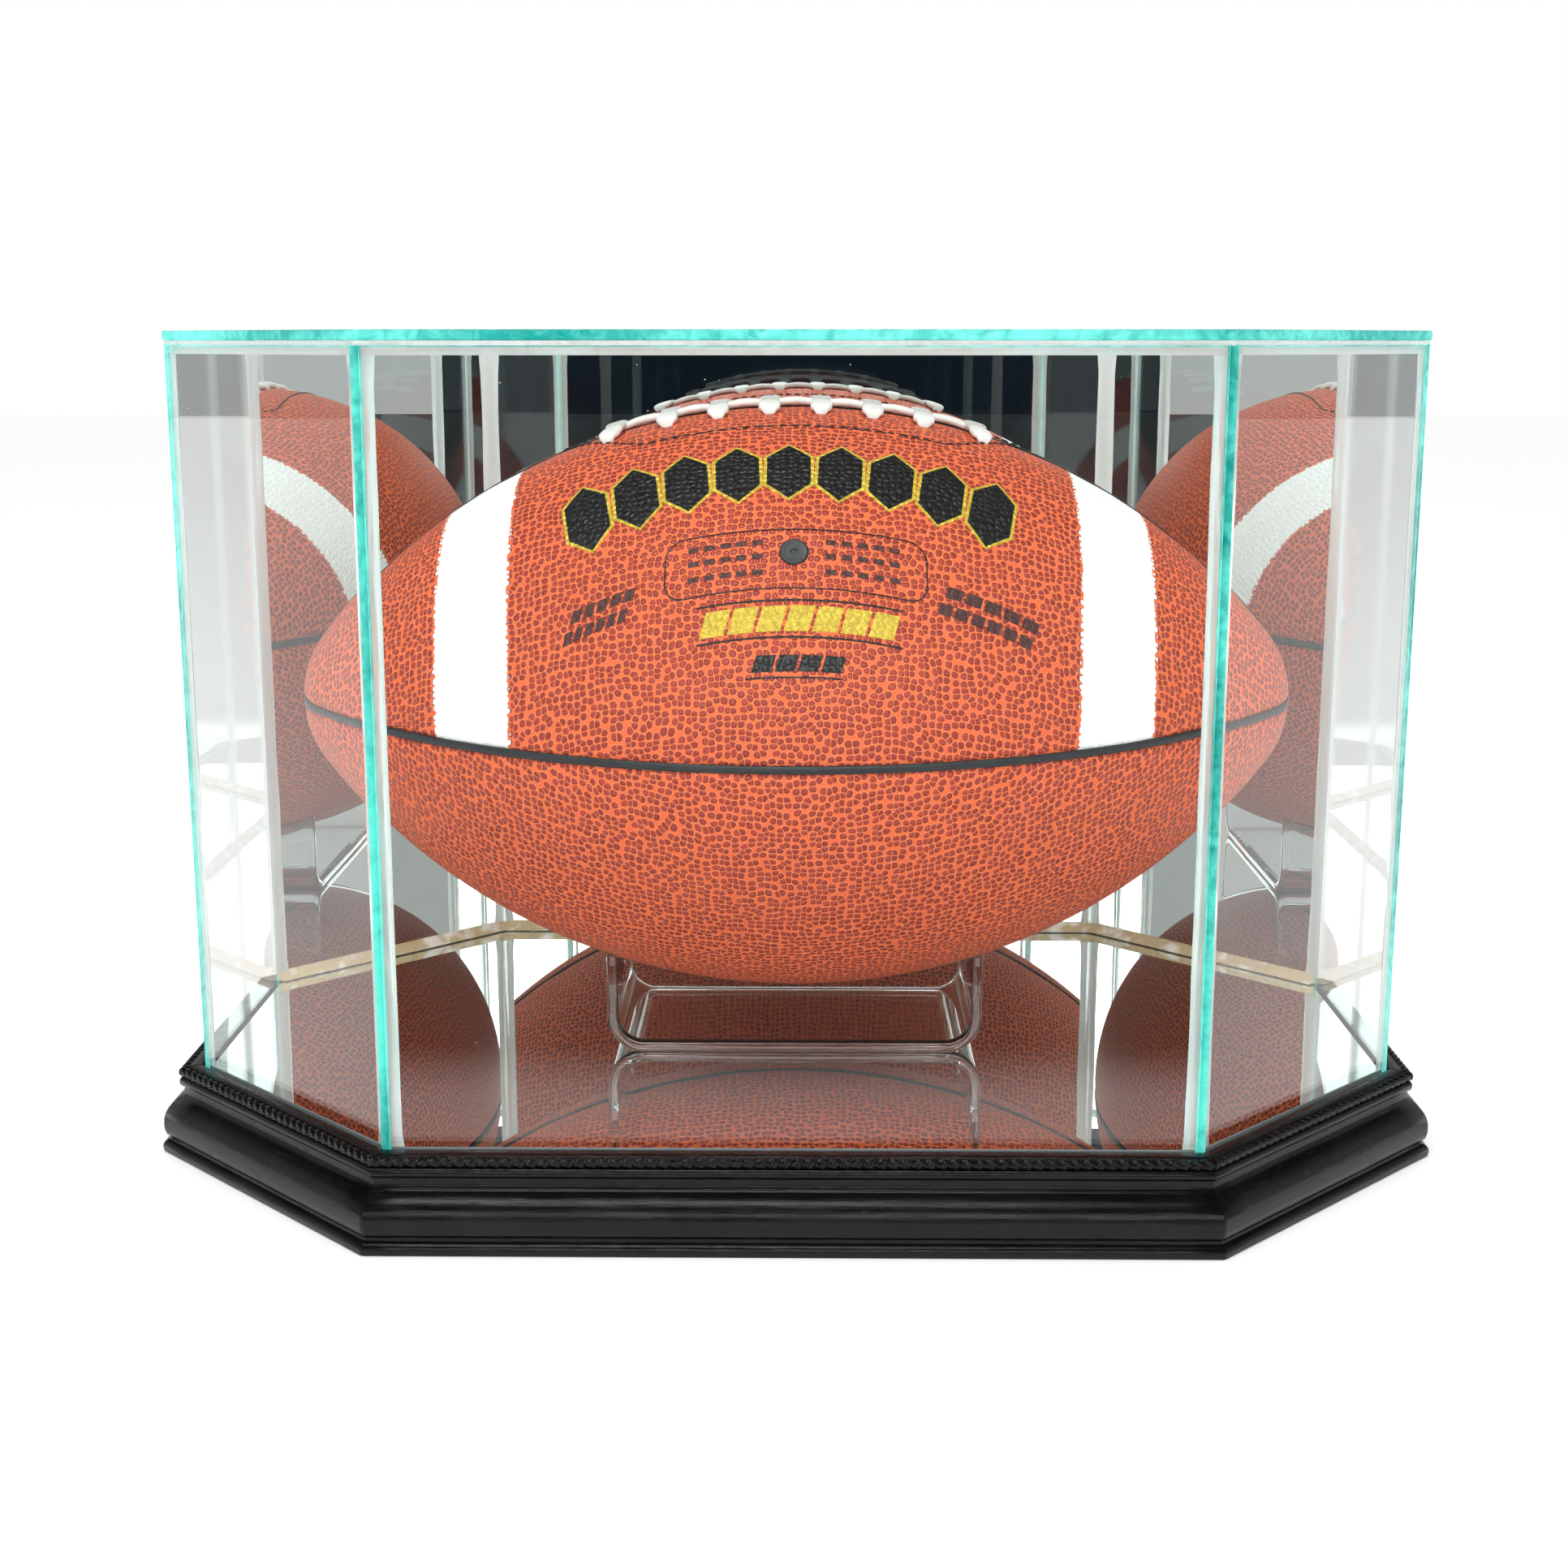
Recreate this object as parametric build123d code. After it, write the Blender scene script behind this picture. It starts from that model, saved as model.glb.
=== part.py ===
from build123d import *
import os
from math import atan2, cos, radians, sin, sqrt

# An octagonal glass display case. A lift-off glass and mirror cover stands on a moulded wood base,
# and a football rests inside on a clear bent stand.
# Millimetres, +Z up, +X to the right, the front faces -Y. The origin is the middle of the underside.

# ---- driving dimensions ----

# The cover's plan, over the outer faces of its walls.
CASE_WIDTH = 331.0
CASE_DEPTH = 209.0
CORNER_CUT = 63.0
CORNER_TURN = 45.0
GLASS = 2.5
END_GAP = 0.1

# Heights above the table.
RAIL_TOP = 24.0
LEDGE_TOP = 17.0
DECK_THICKNESS = 3.5
MIRROR_THICKNESS = 3.0
WALL_TOP = 221.6
TOP_UNDERSIDE = 222.8

# Base rails, as distances outward from the cover's outer face.
RAIL_INNER = -12.0
COVER_PLAY = 0.5
FLOOR_PLAY = 0.6
RAIL_REACH = 20.0
NAIL_TOP = 7.6
NAIL_LEG = 4.5
NAIL_THICKNESS = 0.5
NAIL_RECESS = 0.6
SCREW_SETBACK = -8.0
SCREW_LENGTH = 12.0
SCREW_RADIUS = 1.25
SCREW_HEAD_RADIUS = 2.6
SCREW_HEAD_DEPTH = 1.6
SCREW_SLOT_WIDTH = 0.6
SCREW_SLOT_LENGTH = 2.6
SCREW_SLOT_DEPTH = 0.9
SCREW_PLAY = 0.1

# Silicone.
SEAM_LEG = 3.6
SEAM_BULGE = 2.1
TOP_SEAM_LEG = 2.2
FOOT_SEAM_LEG = 2.4
FOOT_SEAM_HEIGHT = 3.0
FOOT_SEAM_LIFT = 0.4
THIN_EDGE = 0.2

# Top pane.
TOP_OVERHANG = 0.3
TOP_CORNER_RADIUS = 1.5

# Stand.
STAND_WIDTH = 107.0
STAND_DEPTH = 55.0
STAND_HEIGHT = 40.0
ACRYLIC = 3.0
STAND_INNER_RADIUS = 7.5

# Football.
BALL_LENGTH = 281.0
BALL_DIAMETER = 166.0
BALL_SIDE_RADIUS = 172.0
BALL_CENTRE_HEIGHT = 122.5
BALL_ROLL = 4.0
LEATHER = 3.0
BLADDER_GAP = 0.4
BLADDER_THICKNESS = 0.8
WELT_WIDTH = 1.4
REST_GAP = 0.35

LACE_COUNT = 8
LACE_PITCH = 14.1
LACE_WIDTH = 5.2
LACE_HALF_SPAN = 13.0
LACE_GAP = 0.2
LACE_RISE = 2.6
LONG_LACE_WIDTH = 4.2
LONG_LACE_LENGTH = 108.0
LONG_LACE_RISE = 1.3
VALVE_RADIUS = 3.7
VALVE_ANGLE = 50.8
VALVE_RISE = 0.2
NEEDLE_HOLE_RADIUS = 0.7

# ---- derived sizes ----

DECK_TOP = LEDGE_TOP + DECK_THICKNESS
FLOOR_TOP = DECK_TOP + MIRROR_THICKNESS
FOOT_SEAM_BOTTOM = FLOOR_TOP + FOOT_SEAM_LIFT
FOOT_SEAM_TOP = FOOT_SEAM_BOTTOM + FOOT_SEAM_HEIGHT
TOP_SEAM_BOTTOM = WALL_TOP - TOP_SEAM_LEG

WALLS = ["front", "front_right", "right", "back_right", "back", "back_left", "left", "front_left"]
MIRROR_WALLS = ["back_right", "back", "back_left"]
BIG = 400.0


# ---- plan helpers ----

def octagon(offset):
    """The plan's corners with every side moved outward, one at the start of each wall."""
    half_width = CASE_WIDTH / 2 + offset
    half_depth = CASE_DEPTH / 2 + offset
    cut = CORNER_CUT + offset * (2 - sqrt(2))
    front = half_width - cut
    side = half_depth - cut
    return [
        Vector(-front, -half_depth),
        Vector(front, -half_depth),
        Vector(half_width, -side),
        Vector(half_width, side),
        Vector(front, half_depth),
        Vector(-front, half_depth),
        Vector(-half_width, side),
        Vector(-half_width, -side),
    ]


def wall_line(index, offset):
    """Start, end, direction along and direction outward of one side of the plan."""
    corners = octagon(offset)
    start = corners[index]
    end = corners[(index + 1) % len(corners)]
    along = (end - start).normalized()
    outward = Vector(along.Y, -along.X)
    return start, end, along, outward


def prism(points, bottom, top):
    """An upright solid on the given plan."""
    outline = make_face(Polyline(*points, close=True))
    return extrude(Pos(0, 0, bottom) * outline, top - bottom, dir=(0, 0, 1))


def frustum(bottom_offset, top_offset, bottom, top):
    """An octagonal block whose sides lean between two offsets of the plan."""
    lower = Pos(0, 0, bottom) * make_face(Polyline(*octagon(bottom_offset), close=True))
    upper = Pos(0, 0, top) * make_face(Polyline(*octagon(top_offset), close=True))
    return loft([lower, upper])


# ---- base ----

def rail_section():
    """A rail's section: X runs outward from the glass, Y is the height."""
    inside = Polyline(
        (11.3, 0),
        (RAIL_INNER, 0),
        (RAIL_INNER, LEDGE_TOP),
        (COVER_PLAY, LEDGE_TOP),
        (COVER_PLAY, RAIL_TOP),
        (3.8, RAIL_TOP),
        (4.0, 23.3),
    )
    rope_bead = ThreePointArc((4.0, 23.3), (6.2, 23.5), (6.0, 21.5))
    under_rope = Line((6.0, 21.5), (5.0, 21.3))
    second_bead = ThreePointArc((5.0, 21.3), (6.5, 19.8), (5.3, 18.3))
    recess = Polyline((5.3, 18.3), (5.3, 16.4), (6.2, 15.2))
    ovolo = ThreePointArc((6.2, 15.2), (10.0, 12.0), (11.0, 8.0))
    ovolo_foot = ThreePointArc((11.0, 8.0), (10.9, 6.4), (10.4, 4.9))
    groove = Polyline((10.4, 4.9), (9.8, 4.5), (9.8, 3.5))
    lip = ThreePointArc((9.8, 3.5), (11.1, 2.7), (11.6, 1.4))
    lip_foot = Line((11.6, 1.4), (11.3, 0))
    return make_face(
        [inside, rope_bead, under_rope, second_bead, recess, ovolo, ovolo_foot, groove, lip, lip_foot]
    )


def rail(index):
    """One mitred rail, with its nail slots and its screw's pilot hole."""
    start, end, along, outward = wall_line(index, 0)
    section_plane = Plane(origin=(start + end) / 2, x_dir=outward, z_dir=-along)
    length = (end - start).length + 2 * RAIL_REACH
    bar = extrude(section_plane * rail_section(), length / 2, both=True)
    inner = octagon(-RAIL_REACH)
    outer = octagon(RAIL_REACH)
    following = (index + 1) % len(WALLS)
    mitre = prism([inner[index], inner[following], outer[following], outer[index]], -1, RAIL_TOP + 1)
    body = bar & mitre
    body -= corner_nail(index, 0)
    body -= corner_nail(following, 0)
    body -= screw_shank(index, 0)
    return body


def corner_nail(index, bottom):
    """A V-shaped nail driven up into the mitre at one corner, or its slot."""
    corner = octagon(RAIL_INNER / 2)[index]
    before = wall_line(index - 1, 0)[2]
    after = wall_line(index, 0)[2]
    legs = Polyline(corner - before * NAIL_LEG, corner, corner + after * NAIL_LEG)
    strip = offset_strip(legs, NAIL_THICKNESS)
    return extrude(Pos(0, 0, bottom) * strip, NAIL_TOP - bottom, dir=(0, 0, 1))


def offset_strip(legs, thickness):
    """A flat strip of even width along a two-legged line."""
    first, second = legs.edges()
    bend = first @ 1
    corners = []
    for side in (1, -1):
        across_first = Vector(-(first % 1).Y, (first % 1).X) * side * thickness / 2
        across_second = Vector(-(second % 0).Y, (second % 0).X) * side * thickness / 2
        bisector = (across_first + across_second).normalized()
        reach = thickness / 2 / cos(radians(CORNER_TURN / 2))
        row = [(first @ 0) + across_first, bend + bisector * reach, (second @ 1) + across_second]
        corners += row if side == 1 else row[::-1]
    return make_face(Polyline(*corners, close=True))


def screw_place(index):
    """Where a deck screw's axis stands on its rail."""
    start, end = wall_line(index, SCREW_SETBACK)[:2]
    middle = (start + end) / 2
    return Pos(middle.X, middle.Y, DECK_TOP)


def screw_shank(index, play):
    """The straight part of a deck screw, from its head down to its point."""
    shank = Cylinder(SCREW_RADIUS + play, SCREW_LENGTH, align=(Align.CENTER, Align.CENTER, Align.MAX))
    return screw_place(index) * shank


def screw_head(index, play):
    """The countersunk head, flush with the deck."""
    head = Cone(
        SCREW_RADIUS + play,
        SCREW_HEAD_RADIUS + play,
        SCREW_HEAD_DEPTH,
        align=(Align.CENTER, Align.CENTER, Align.MAX),
    )
    return screw_place(index) * head


def deck_screw(index):
    """A countersunk screw with a cross recess."""
    top = (Align.CENTER, Align.CENTER, Align.MAX)
    slot = Box(SCREW_SLOT_LENGTH, SCREW_SLOT_WIDTH, SCREW_SLOT_DEPTH, align=top)
    cross = slot + Rot(0, 0, 90) * slot
    return screw_shank(index, 0) + screw_head(index, 0) - screw_place(index) * cross


def deck_board():
    """The thin board on the rails' ledge that carries the mirror."""
    board = prism(octagon(-GLASS - FLOOR_PLAY), LEDGE_TOP, DECK_TOP)
    for index in range(len(WALLS)):
        board -= screw_shank(index, SCREW_PLAY)
        board -= screw_head(index, SCREW_PLAY)
    return board


def base_parts():
    """Rails, fasteners, deck and mirror floor."""
    numbers = range(len(WALLS))
    parts = {f"rail_{name}": rail(index) for index, name in enumerate(WALLS)}
    parts["corner_nails"] = Compound([corner_nail(index, NAIL_RECESS).solid() for index in numbers])
    parts["deck_board"] = deck_board()
    parts["deck_screws"] = Compound([deck_screw(index).solid() for index in numbers])
    parts["mirror_floor"] = prism(octagon(-GLASS - FLOOR_PLAY), DECK_TOP, FLOOR_TOP)
    return parts


# ---- cover ----

def pane(index):
    """One wall, cut square, so the walls meet at their inner edges."""
    start, end, along, outward = wall_line(index, -GLASS)
    near = start + along * END_GAP
    far = end - along * END_GAP
    return prism([near, far, far + outward * GLASS, near + outward * GLASS], LEDGE_TOP, WALL_TOP)


def corner_seam(index):
    """The bead of silicone up the inside of one corner."""
    start, _, after, _ = wall_line(index, -GLASS)
    before = wall_line(index - 1, -GLASS)[2]
    inward = (after - before).normalized()
    beside_mirror = WALLS[index] in MIRROR_WALLS or WALLS[index - 1] in MIRROR_WALLS
    bottom = FOOT_SEAM_TOP if beside_mirror else FOOT_SEAM_BOTTOM
    near = start - before * SEAM_LEG
    far = start + after * SEAM_LEG
    face = make_face(
        [Line(near, start), Line(start, far), ThreePointArc(far, start + inward * SEAM_BULGE, near)]
    )
    return extrude(Pos(0, 0, bottom) * face, TOP_SEAM_BOTTOM - bottom, dir=(0, 0, 1))


def top_seam():
    """The silicone bed under the top pane, with a fillet inside the walls."""
    bed = prism(octagon(-THIN_EDGE), WALL_TOP, TOP_UNDERSIDE)
    fillet_ring = prism(octagon(-GLASS), TOP_SEAM_BOTTOM, WALL_TOP)
    hollow = frustum(-GLASS - THIN_EDGE, -GLASS - TOP_SEAM_LEG, TOP_SEAM_BOTTOM, TOP_UNDERSIDE)
    return bed + fillet_ring - hollow


def foot_seam():
    """The silicone fillet along the foot of the three mirror walls, just above the mirror floor."""
    ring = prism(octagon(-GLASS), FOOT_SEAM_BOTTOM, FOOT_SEAM_TOP)
    hollow = frustum(-GLASS - FOOT_SEAM_LEG, -GLASS - THIN_EDGE, FOOT_SEAM_BOTTOM, FOOT_SEAM_TOP)
    first = WALLS.index(MIRROR_WALLS[0])
    last = first + len(MIRROR_WALLS)
    inner = octagon(-RAIL_REACH)[first : last + 1]
    outer = octagon(RAIL_REACH)[first : last + 1]
    return (ring - hollow) & prism(inner + outer[::-1], 0, RAIL_TOP + FOOT_SEAM_HEIGHT + 1)


def top_pane():
    """The flat top, with eased corners."""
    plate = prism(octagon(TOP_OVERHANG), TOP_UNDERSIDE, TOP_UNDERSIDE + GLASS)
    return fillet(plate.edges().filter_by(Axis.Z), TOP_CORNER_RADIUS)


def cover_parts():
    """Five glass walls, three mirror walls, the top and the silicone that joins them."""
    parts = {}
    for index, name in enumerate(WALLS):
        kind = "mirror" if name in MIRROR_WALLS else "glass"
        parts[f"{kind}_{name}"] = pane(index)
        parts[f"seam_{name}"] = corner_seam(index)
    parts["glass_top"] = top_pane()
    parts["seam_top"] = top_seam()
    parts["seam_foot"] = foot_seam()
    return parts


# ---- football ----

def ball_radius(distance):
    """The ball's radius at a distance along its length from its middle, short of the tips."""
    return BALL_DIAMETER / 2 - BALL_SIDE_RADIUS + sqrt(BALL_SIDE_RADIUS**2 - distance**2)


def ball_crown(grow):
    """The curve from tip to tip of the ball's section, grown or shrunk evenly."""
    drop = BALL_SIDE_RADIUS - BALL_DIAMETER / 2
    half = BALL_LENGTH / 2
    tip_radius = (BALL_SIDE_RADIUS**2 - half**2 - drop**2) / (BALL_SIDE_RADIUS - half) / 2
    turn = atan2(drop, half - tip_radius)

    def tip_point(angle, side):
        reach = tip_radius + grow
        return (side * (half - tip_radius + reach * cos(angle)), reach * sin(angle))

    left = ThreePointArc(tip_point(0, -1), tip_point(turn / 2, -1), tip_point(turn, -1))
    crown = ThreePointArc(tip_point(turn, -1), (0, BALL_DIAMETER / 2 + grow), tip_point(turn, 1))
    right = ThreePointArc(tip_point(turn, 1), tip_point(turn / 2, 1), tip_point(0, 1))
    return [left, crown, right]


def ball_shell(outside, inside):
    """A hollow ball between two sizes, lying along X about the origin."""
    outer = ball_crown(outside)
    inner = ball_crown(inside)
    left = Line(outer[0] @ 0, inner[0] @ 0)
    right = Line(outer[-1] @ 1, inner[-1] @ 1)
    return revolve(make_face([*outer, right, *inner, left]), Axis.X)


def slab(width, height, centre_y, centre_z):
    """A long bar along X, used to divide the ball's shell."""
    return Pos(0, centre_y, centre_z) * Box(BIG, width, height)


def leather_parts():
    """Four leather panels and the dark welt that fills the seams between them."""
    shell = ball_shell(0, -LEATHER)
    parts = {}
    middle = (BIG + WELT_WIDTH) / 2
    for end_name, up in (("top", 1), ("bottom", -1)):
        for side_name, back in (("front", -1), ("back", 1)):
            corner = slab(BIG, BIG, back * middle, up * middle)
            parts[f"ball_panel_{side_name}_{end_name}"] = shell & corner
    cross = slab(BIG, WELT_WIDTH, 0, 0) + slab(WELT_WIDTH, BIG, 0, 0)
    parts["ball_welt"] = shell & cross
    return parts


def lace_parts():
    """Eight cross laces over one long lace along the top seam."""
    over = ball_shell(LACE_RISE, LACE_GAP)
    under = ball_shell(LONG_LACE_RISE, LACE_GAP)
    above = Pos(0, 0, BIG / 2)
    long_lace = under & (above * Box(LONG_LACE_LENGTH, LONG_LACE_WIDTH, BIG))
    bridge = under & (above * Box(BIG, LONG_LACE_WIDTH, BIG))
    band = over - bridge
    laces = []
    for number in range(LACE_COUNT):
        place = (number - (LACE_COUNT - 1) / 2) * LACE_PITCH
        cutter = Pos(place, 0, BIG / 2) * Box(LACE_WIDTH, 2 * LACE_HALF_SPAN, BIG)
        laces.append((band & cutter).solid())
    return {"ball_lace_long": long_lace, "ball_laces_cross": Compound(laces)}


def valve_core(radius, bottom, top):
    """A round bar on the valve's line, between two distances from the ball's axis."""
    bar = Pos(0, 0, bottom) * Cylinder(
        radius, top - bottom, align=(Align.CENTER, Align.CENTER, Align.MIN)
    )
    return Rot(VALVE_ANGLE, 0, 0) * bar


def ball_parts():
    """The football, rolled a little towards the front and set on the stand."""
    radius = BALL_DIAMETER / 2
    parts = leather_parts()
    parts["ball_panel_front_top"] -= valve_core(VALVE_RADIUS, radius - 2 * LEATHER, radius + LEATHER)
    valve = valve_core(VALVE_RADIUS, radius - LEATHER, radius + VALVE_RISE)
    parts["ball_valve"] = valve - valve_core(NEEDLE_HOLE_RADIUS, 0, radius + LEATHER)
    bladder_outside = -LEATHER - BLADDER_GAP
    parts["ball_bladder"] = ball_shell(bladder_outside, bladder_outside - BLADDER_THICKNESS)
    parts.update(lace_parts())
    place = Pos(0, 0, BALL_CENTRE_HEIGHT) * Rot(BALL_ROLL, 0, 0)
    return {name: place * shape for name, shape in parts.items()}


# ---- stand ----

def stand():
    """A strip of clear acrylic bent into a U, its two upright edges hollowed to cradle the ball."""
    outer = Pos(0, STAND_HEIGHT / 2) * Rectangle(STAND_WIDTH, STAND_HEIGHT)
    outer = fillet(outer.vertices().group_by(Axis.Y)[0], STAND_INNER_RADIUS + ACRYLIC)
    inner = Pos(0, ACRYLIC + STAND_HEIGHT / 2) * Rectangle(STAND_WIDTH - 2 * ACRYLIC, STAND_HEIGHT)
    inner = fillet(inner.vertices().group_by(Axis.Y)[0], STAND_INNER_RADIUS)
    section_plane = Plane(origin=(0, 0, FLOOR_TOP), x_dir=(1, 0, 0), z_dir=(0, -1, 0))
    strip = extrude(section_plane * (outer - inner), STAND_DEPTH / 2, both=True)
    touch = ball_radius(STAND_WIDTH / 2 - ACRYLIC) + REST_GAP
    cradle = Pos(0, 0, BALL_CENTRE_HEIGHT) * Rot(0, 90, 0) * Cylinder(touch, BIG)
    return strip - cradle


def main():
    parts = {}
    parts.update(base_parts())
    parts.update(cover_parts())
    parts["stand"] = stand()
    parts.update(ball_parts())
    os.makedirs("parts", exist_ok=True)
    for name, shape in parts.items():
        export_step(shape, f"parts/{name}.step")


main()
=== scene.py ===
import math

import bmesh
import bpy
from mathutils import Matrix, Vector, noise


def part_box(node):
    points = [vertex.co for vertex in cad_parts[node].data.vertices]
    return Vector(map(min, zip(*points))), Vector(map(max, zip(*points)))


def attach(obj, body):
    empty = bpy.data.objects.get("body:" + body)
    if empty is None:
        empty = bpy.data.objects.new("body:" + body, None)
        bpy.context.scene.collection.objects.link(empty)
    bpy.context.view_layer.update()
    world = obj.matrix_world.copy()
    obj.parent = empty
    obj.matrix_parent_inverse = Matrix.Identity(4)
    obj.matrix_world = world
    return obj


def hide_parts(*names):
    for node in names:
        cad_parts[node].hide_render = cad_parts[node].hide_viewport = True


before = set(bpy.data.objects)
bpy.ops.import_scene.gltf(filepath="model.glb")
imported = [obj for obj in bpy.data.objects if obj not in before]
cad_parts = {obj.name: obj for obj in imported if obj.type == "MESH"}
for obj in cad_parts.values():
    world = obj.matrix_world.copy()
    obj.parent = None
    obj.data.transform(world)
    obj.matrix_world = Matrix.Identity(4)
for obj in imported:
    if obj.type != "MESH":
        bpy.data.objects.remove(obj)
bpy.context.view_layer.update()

MM = 0.001
EIGHTH = math.tan(math.radians(22.5))

WALLS = ["front", "front_right", "right", "back_right", "back", "back_left", "left", "front_left"]
MIRROR_WALLS = ["back_right", "back", "back_left"]

# ---- the case's plan and levels, read from the frame ----

front_low, front_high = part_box("glass_front")
side_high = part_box("glass_right")[1]
floor_low, floor_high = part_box("mirror_floor")
top_low, top_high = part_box("glass_top")
rail_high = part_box("rail_front")[1]
top_seam_low, top_seam_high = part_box("seam_top")
foot_seam_low, foot_seam_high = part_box("seam_foot")

WALL = front_high.y - front_low.y
HALF_WIDTH = side_high.x
HALF_DEPTH = -front_low.y
INNER_FRONT = front_high.x
INNER_SIDE = side_high.y
WALL_BOTTOM = front_low.z
WALL_TOP = front_high.z
RAIL_TOP = rail_high.z


def plan(offset):
    """The eight corners of the case's plan, moved outward from the walls' outer faces."""
    front = INNER_FRONT + (WALL + offset) * EIGHTH
    side = INNER_SIDE + (WALL + offset) * EIGHTH
    width = HALF_WIDTH + offset
    depth = HALF_DEPTH + offset
    return [
        Vector((-front, -depth, 0)),
        Vector((front, -depth, 0)),
        Vector((width, -side, 0)),
        Vector((width, side, 0)),
        Vector((front, depth, 0)),
        Vector((-front, depth, 0)),
        Vector((-width, side, 0)),
        Vector((-width, -side, 0)),
    ]


def wall_line(index, offset):
    """Start, end, direction along and direction outward of one side of the plan."""
    corners = plan(offset)
    start = corners[index]
    end = corners[(index + 1) % len(corners)]
    along = (end - start).normalized()
    outward = Vector((along.y, -along.x, 0))
    return start, end, along, outward


# ---- mesh helpers ----

def turn_outward(shape):
    """Makes the faces of every closed island look outward."""
    bmesh.ops.recalc_face_normals(shape, faces=shape.faces[:])
    seen = set()
    for start in shape.faces:
        if start in seen:
            continue
        island = [start]
        seen.add(start)
        for face in island:
            for edge in face.edges:
                for other in edge.link_faces:
                    if other not in seen:
                        seen.add(other)
                        island.append(other)
        middle = start.calc_center_median()
        held = 0.0
        for face in island:
            held += (face.calc_center_median() - middle).dot(face.normal) * face.calc_area()
        if held < 0:
            bmesh.ops.reverse_faces(shape, faces=island)


def piece(name, points, faces, body, materials, nodes=(), uvs=None, sharp=35):
    """A new mesh that rides on a body and stands for the nodes it replaces."""
    mesh = bpy.data.meshes.new(name)
    mesh.from_pydata([tuple(point) for point in points], [], faces)
    if uvs is not None:
        layer = mesh.uv_layers.new(name="skin")
        for loop in mesh.loops:
            layer.data[loop.index].uv = uvs[loop.vertex_index]
    for material in materials:
        mesh.materials.append(material)
    mesh.validate()
    shape = bmesh.new()
    shape.from_mesh(mesh)
    turn_outward(shape)
    shape.to_mesh(mesh)
    shape.free()
    mesh.polygons.foreach_set("use_smooth", [True] * len(mesh.polygons))
    mesh.set_sharp_from_angle(angle=math.radians(sharp))
    made = bpy.data.objects.new(name, mesh)
    bpy.context.scene.collection.objects.link(made)
    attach(made, body)
    if nodes:
        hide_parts(*nodes)
    return made


def tube_faces(rings, count, first=0, closed_ends=True):
    """Quads joining a run of rings that hold the same number of points, with flat ends."""
    faces = []
    for ring in range(rings - 1):
        base = first + ring * count
        for number in range(count):
            following = (number + 1) % count
            faces.append((base + number, base + following, base + count + following, base + count + number))
    if closed_ends:
        faces.append(tuple(first + number for number in range(count)))
        last = first + (rings - 1) * count
        faces.append(tuple(last + number for number in reversed(range(count))))
    return faces


def loop_faces(rings, count):
    """Quads joining rings that run round and meet again."""
    faces = []
    for ring in range(rings):
        base = ring * count
        after = (ring + 1) % rings * count
        for number in range(count):
            following = (number + 1) % count
            faces.append((base + number, base + following, after + following, after + number))
    return faces


def arc(start, middle, end, steps):
    """Points on the circle through three points, leaving out the last."""
    (ax, ay), (bx, by), (cx, cy) = start, middle, end
    scale = 2 * (ax * (by - cy) + bx * (cy - ay) + cx * (ay - by))
    a2, b2, c2 = ax * ax + ay * ay, bx * bx + by * by, cx * cx + cy * cy
    ox = (a2 * (by - cy) + b2 * (cy - ay) + c2 * (ay - by)) / scale
    oy = (a2 * (cx - bx) + b2 * (ax - cx) + c2 * (bx - ax)) / scale
    radius = math.hypot(ax - ox, ay - oy)
    first = math.atan2(ay - oy, ax - ox)
    half = (math.atan2(by - oy, bx - ox) - first + math.pi) % math.tau - math.pi
    rest = (math.atan2(cy - oy, cx - ox) - first - half + math.pi) % math.tau - math.pi
    turn = half + rest
    angles = [first + turn * step / steps for step in range(steps)]
    return [(ox + radius * math.cos(a), oy + radius * math.sin(a)) for a in angles]


def ease_corners(points, radius):
    """A closed outline with each sharp corner cut back and rounded."""
    eased = []
    count = len(points)
    for number in range(count):
        before = Vector(points[number - 1])
        here = Vector(points[number])
        after = Vector(points[(number + 1) % count])
        into = here - before
        out = after - here
        if into.length < 1e-9 or out.length < 1e-9:
            continue
        if into.angle(out) < math.radians(25):
            eased.append(tuple(here))
            continue
        reach_in = min(radius, into.length * 0.45)
        reach_out = min(radius, out.length * 0.45)
        start = here - into.normalized() * reach_in
        end = here + out.normalized() * reach_out
        for share in (0, 0.5, 1):
            first = start.lerp(here, share)
            second = here.lerp(end, share)
            eased.append(tuple(first.lerp(second, share)))
    return eased


def smooth_step(low, high, value):
    """0 below low, 1 above high, and a smooth rise between."""
    share = min(1.0, max(0.0, (value - low) / (high - low)))
    return share * share * (3 - 2 * share)


# ---- shader helpers ----

def put(tree, kind, inputs=None, **settings):
    """Adds a node, applies its settings, and sets or links its inputs."""
    made = tree.nodes.new("ShaderNode" + kind)
    for name, value in settings.items():
        setattr(made, name, value)
    for name, value in (inputs or {}).items():
        if isinstance(value, bpy.types.NodeSocket):
            tree.links.new(value, made.inputs[name])
        else:
            made.inputs[name].default_value = value
    return made


def calc(tree, operation, first, second=0.0, clamp=False):
    """One step of arithmetic."""
    made = put(tree, "Math", {0: first, 1: second}, operation=operation, use_clamp=clamp)
    return made.outputs[0]


def ramp(tree, value, low, high, out_low=0.0, out_high=1.0):
    """A smooth change of a value between two limits."""
    inputs = {"Value": value, "From Min": low, "From Max": high, "To Min": out_low, "To Max": out_high}
    return put(tree, "MapRange", inputs, interpolation_type="SMOOTHSTEP").outputs["Result"]


def blend_colours(tree, share, first, second, mode="MIX"):
    """Two colours mixed by a share."""
    made = put(tree, "Mix", {"Factor": share, "A": (0, 0, 0, 1)}, data_type="RGBA", blend_type=mode)
    for socket, value in ((made.inputs[6], first), (made.inputs[7], second)):
        if isinstance(value, bpy.types.NodeSocket):
            tree.links.new(value, socket)
        else:
            socket.default_value = (*value, 1)
    return made.outputs[2]


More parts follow.
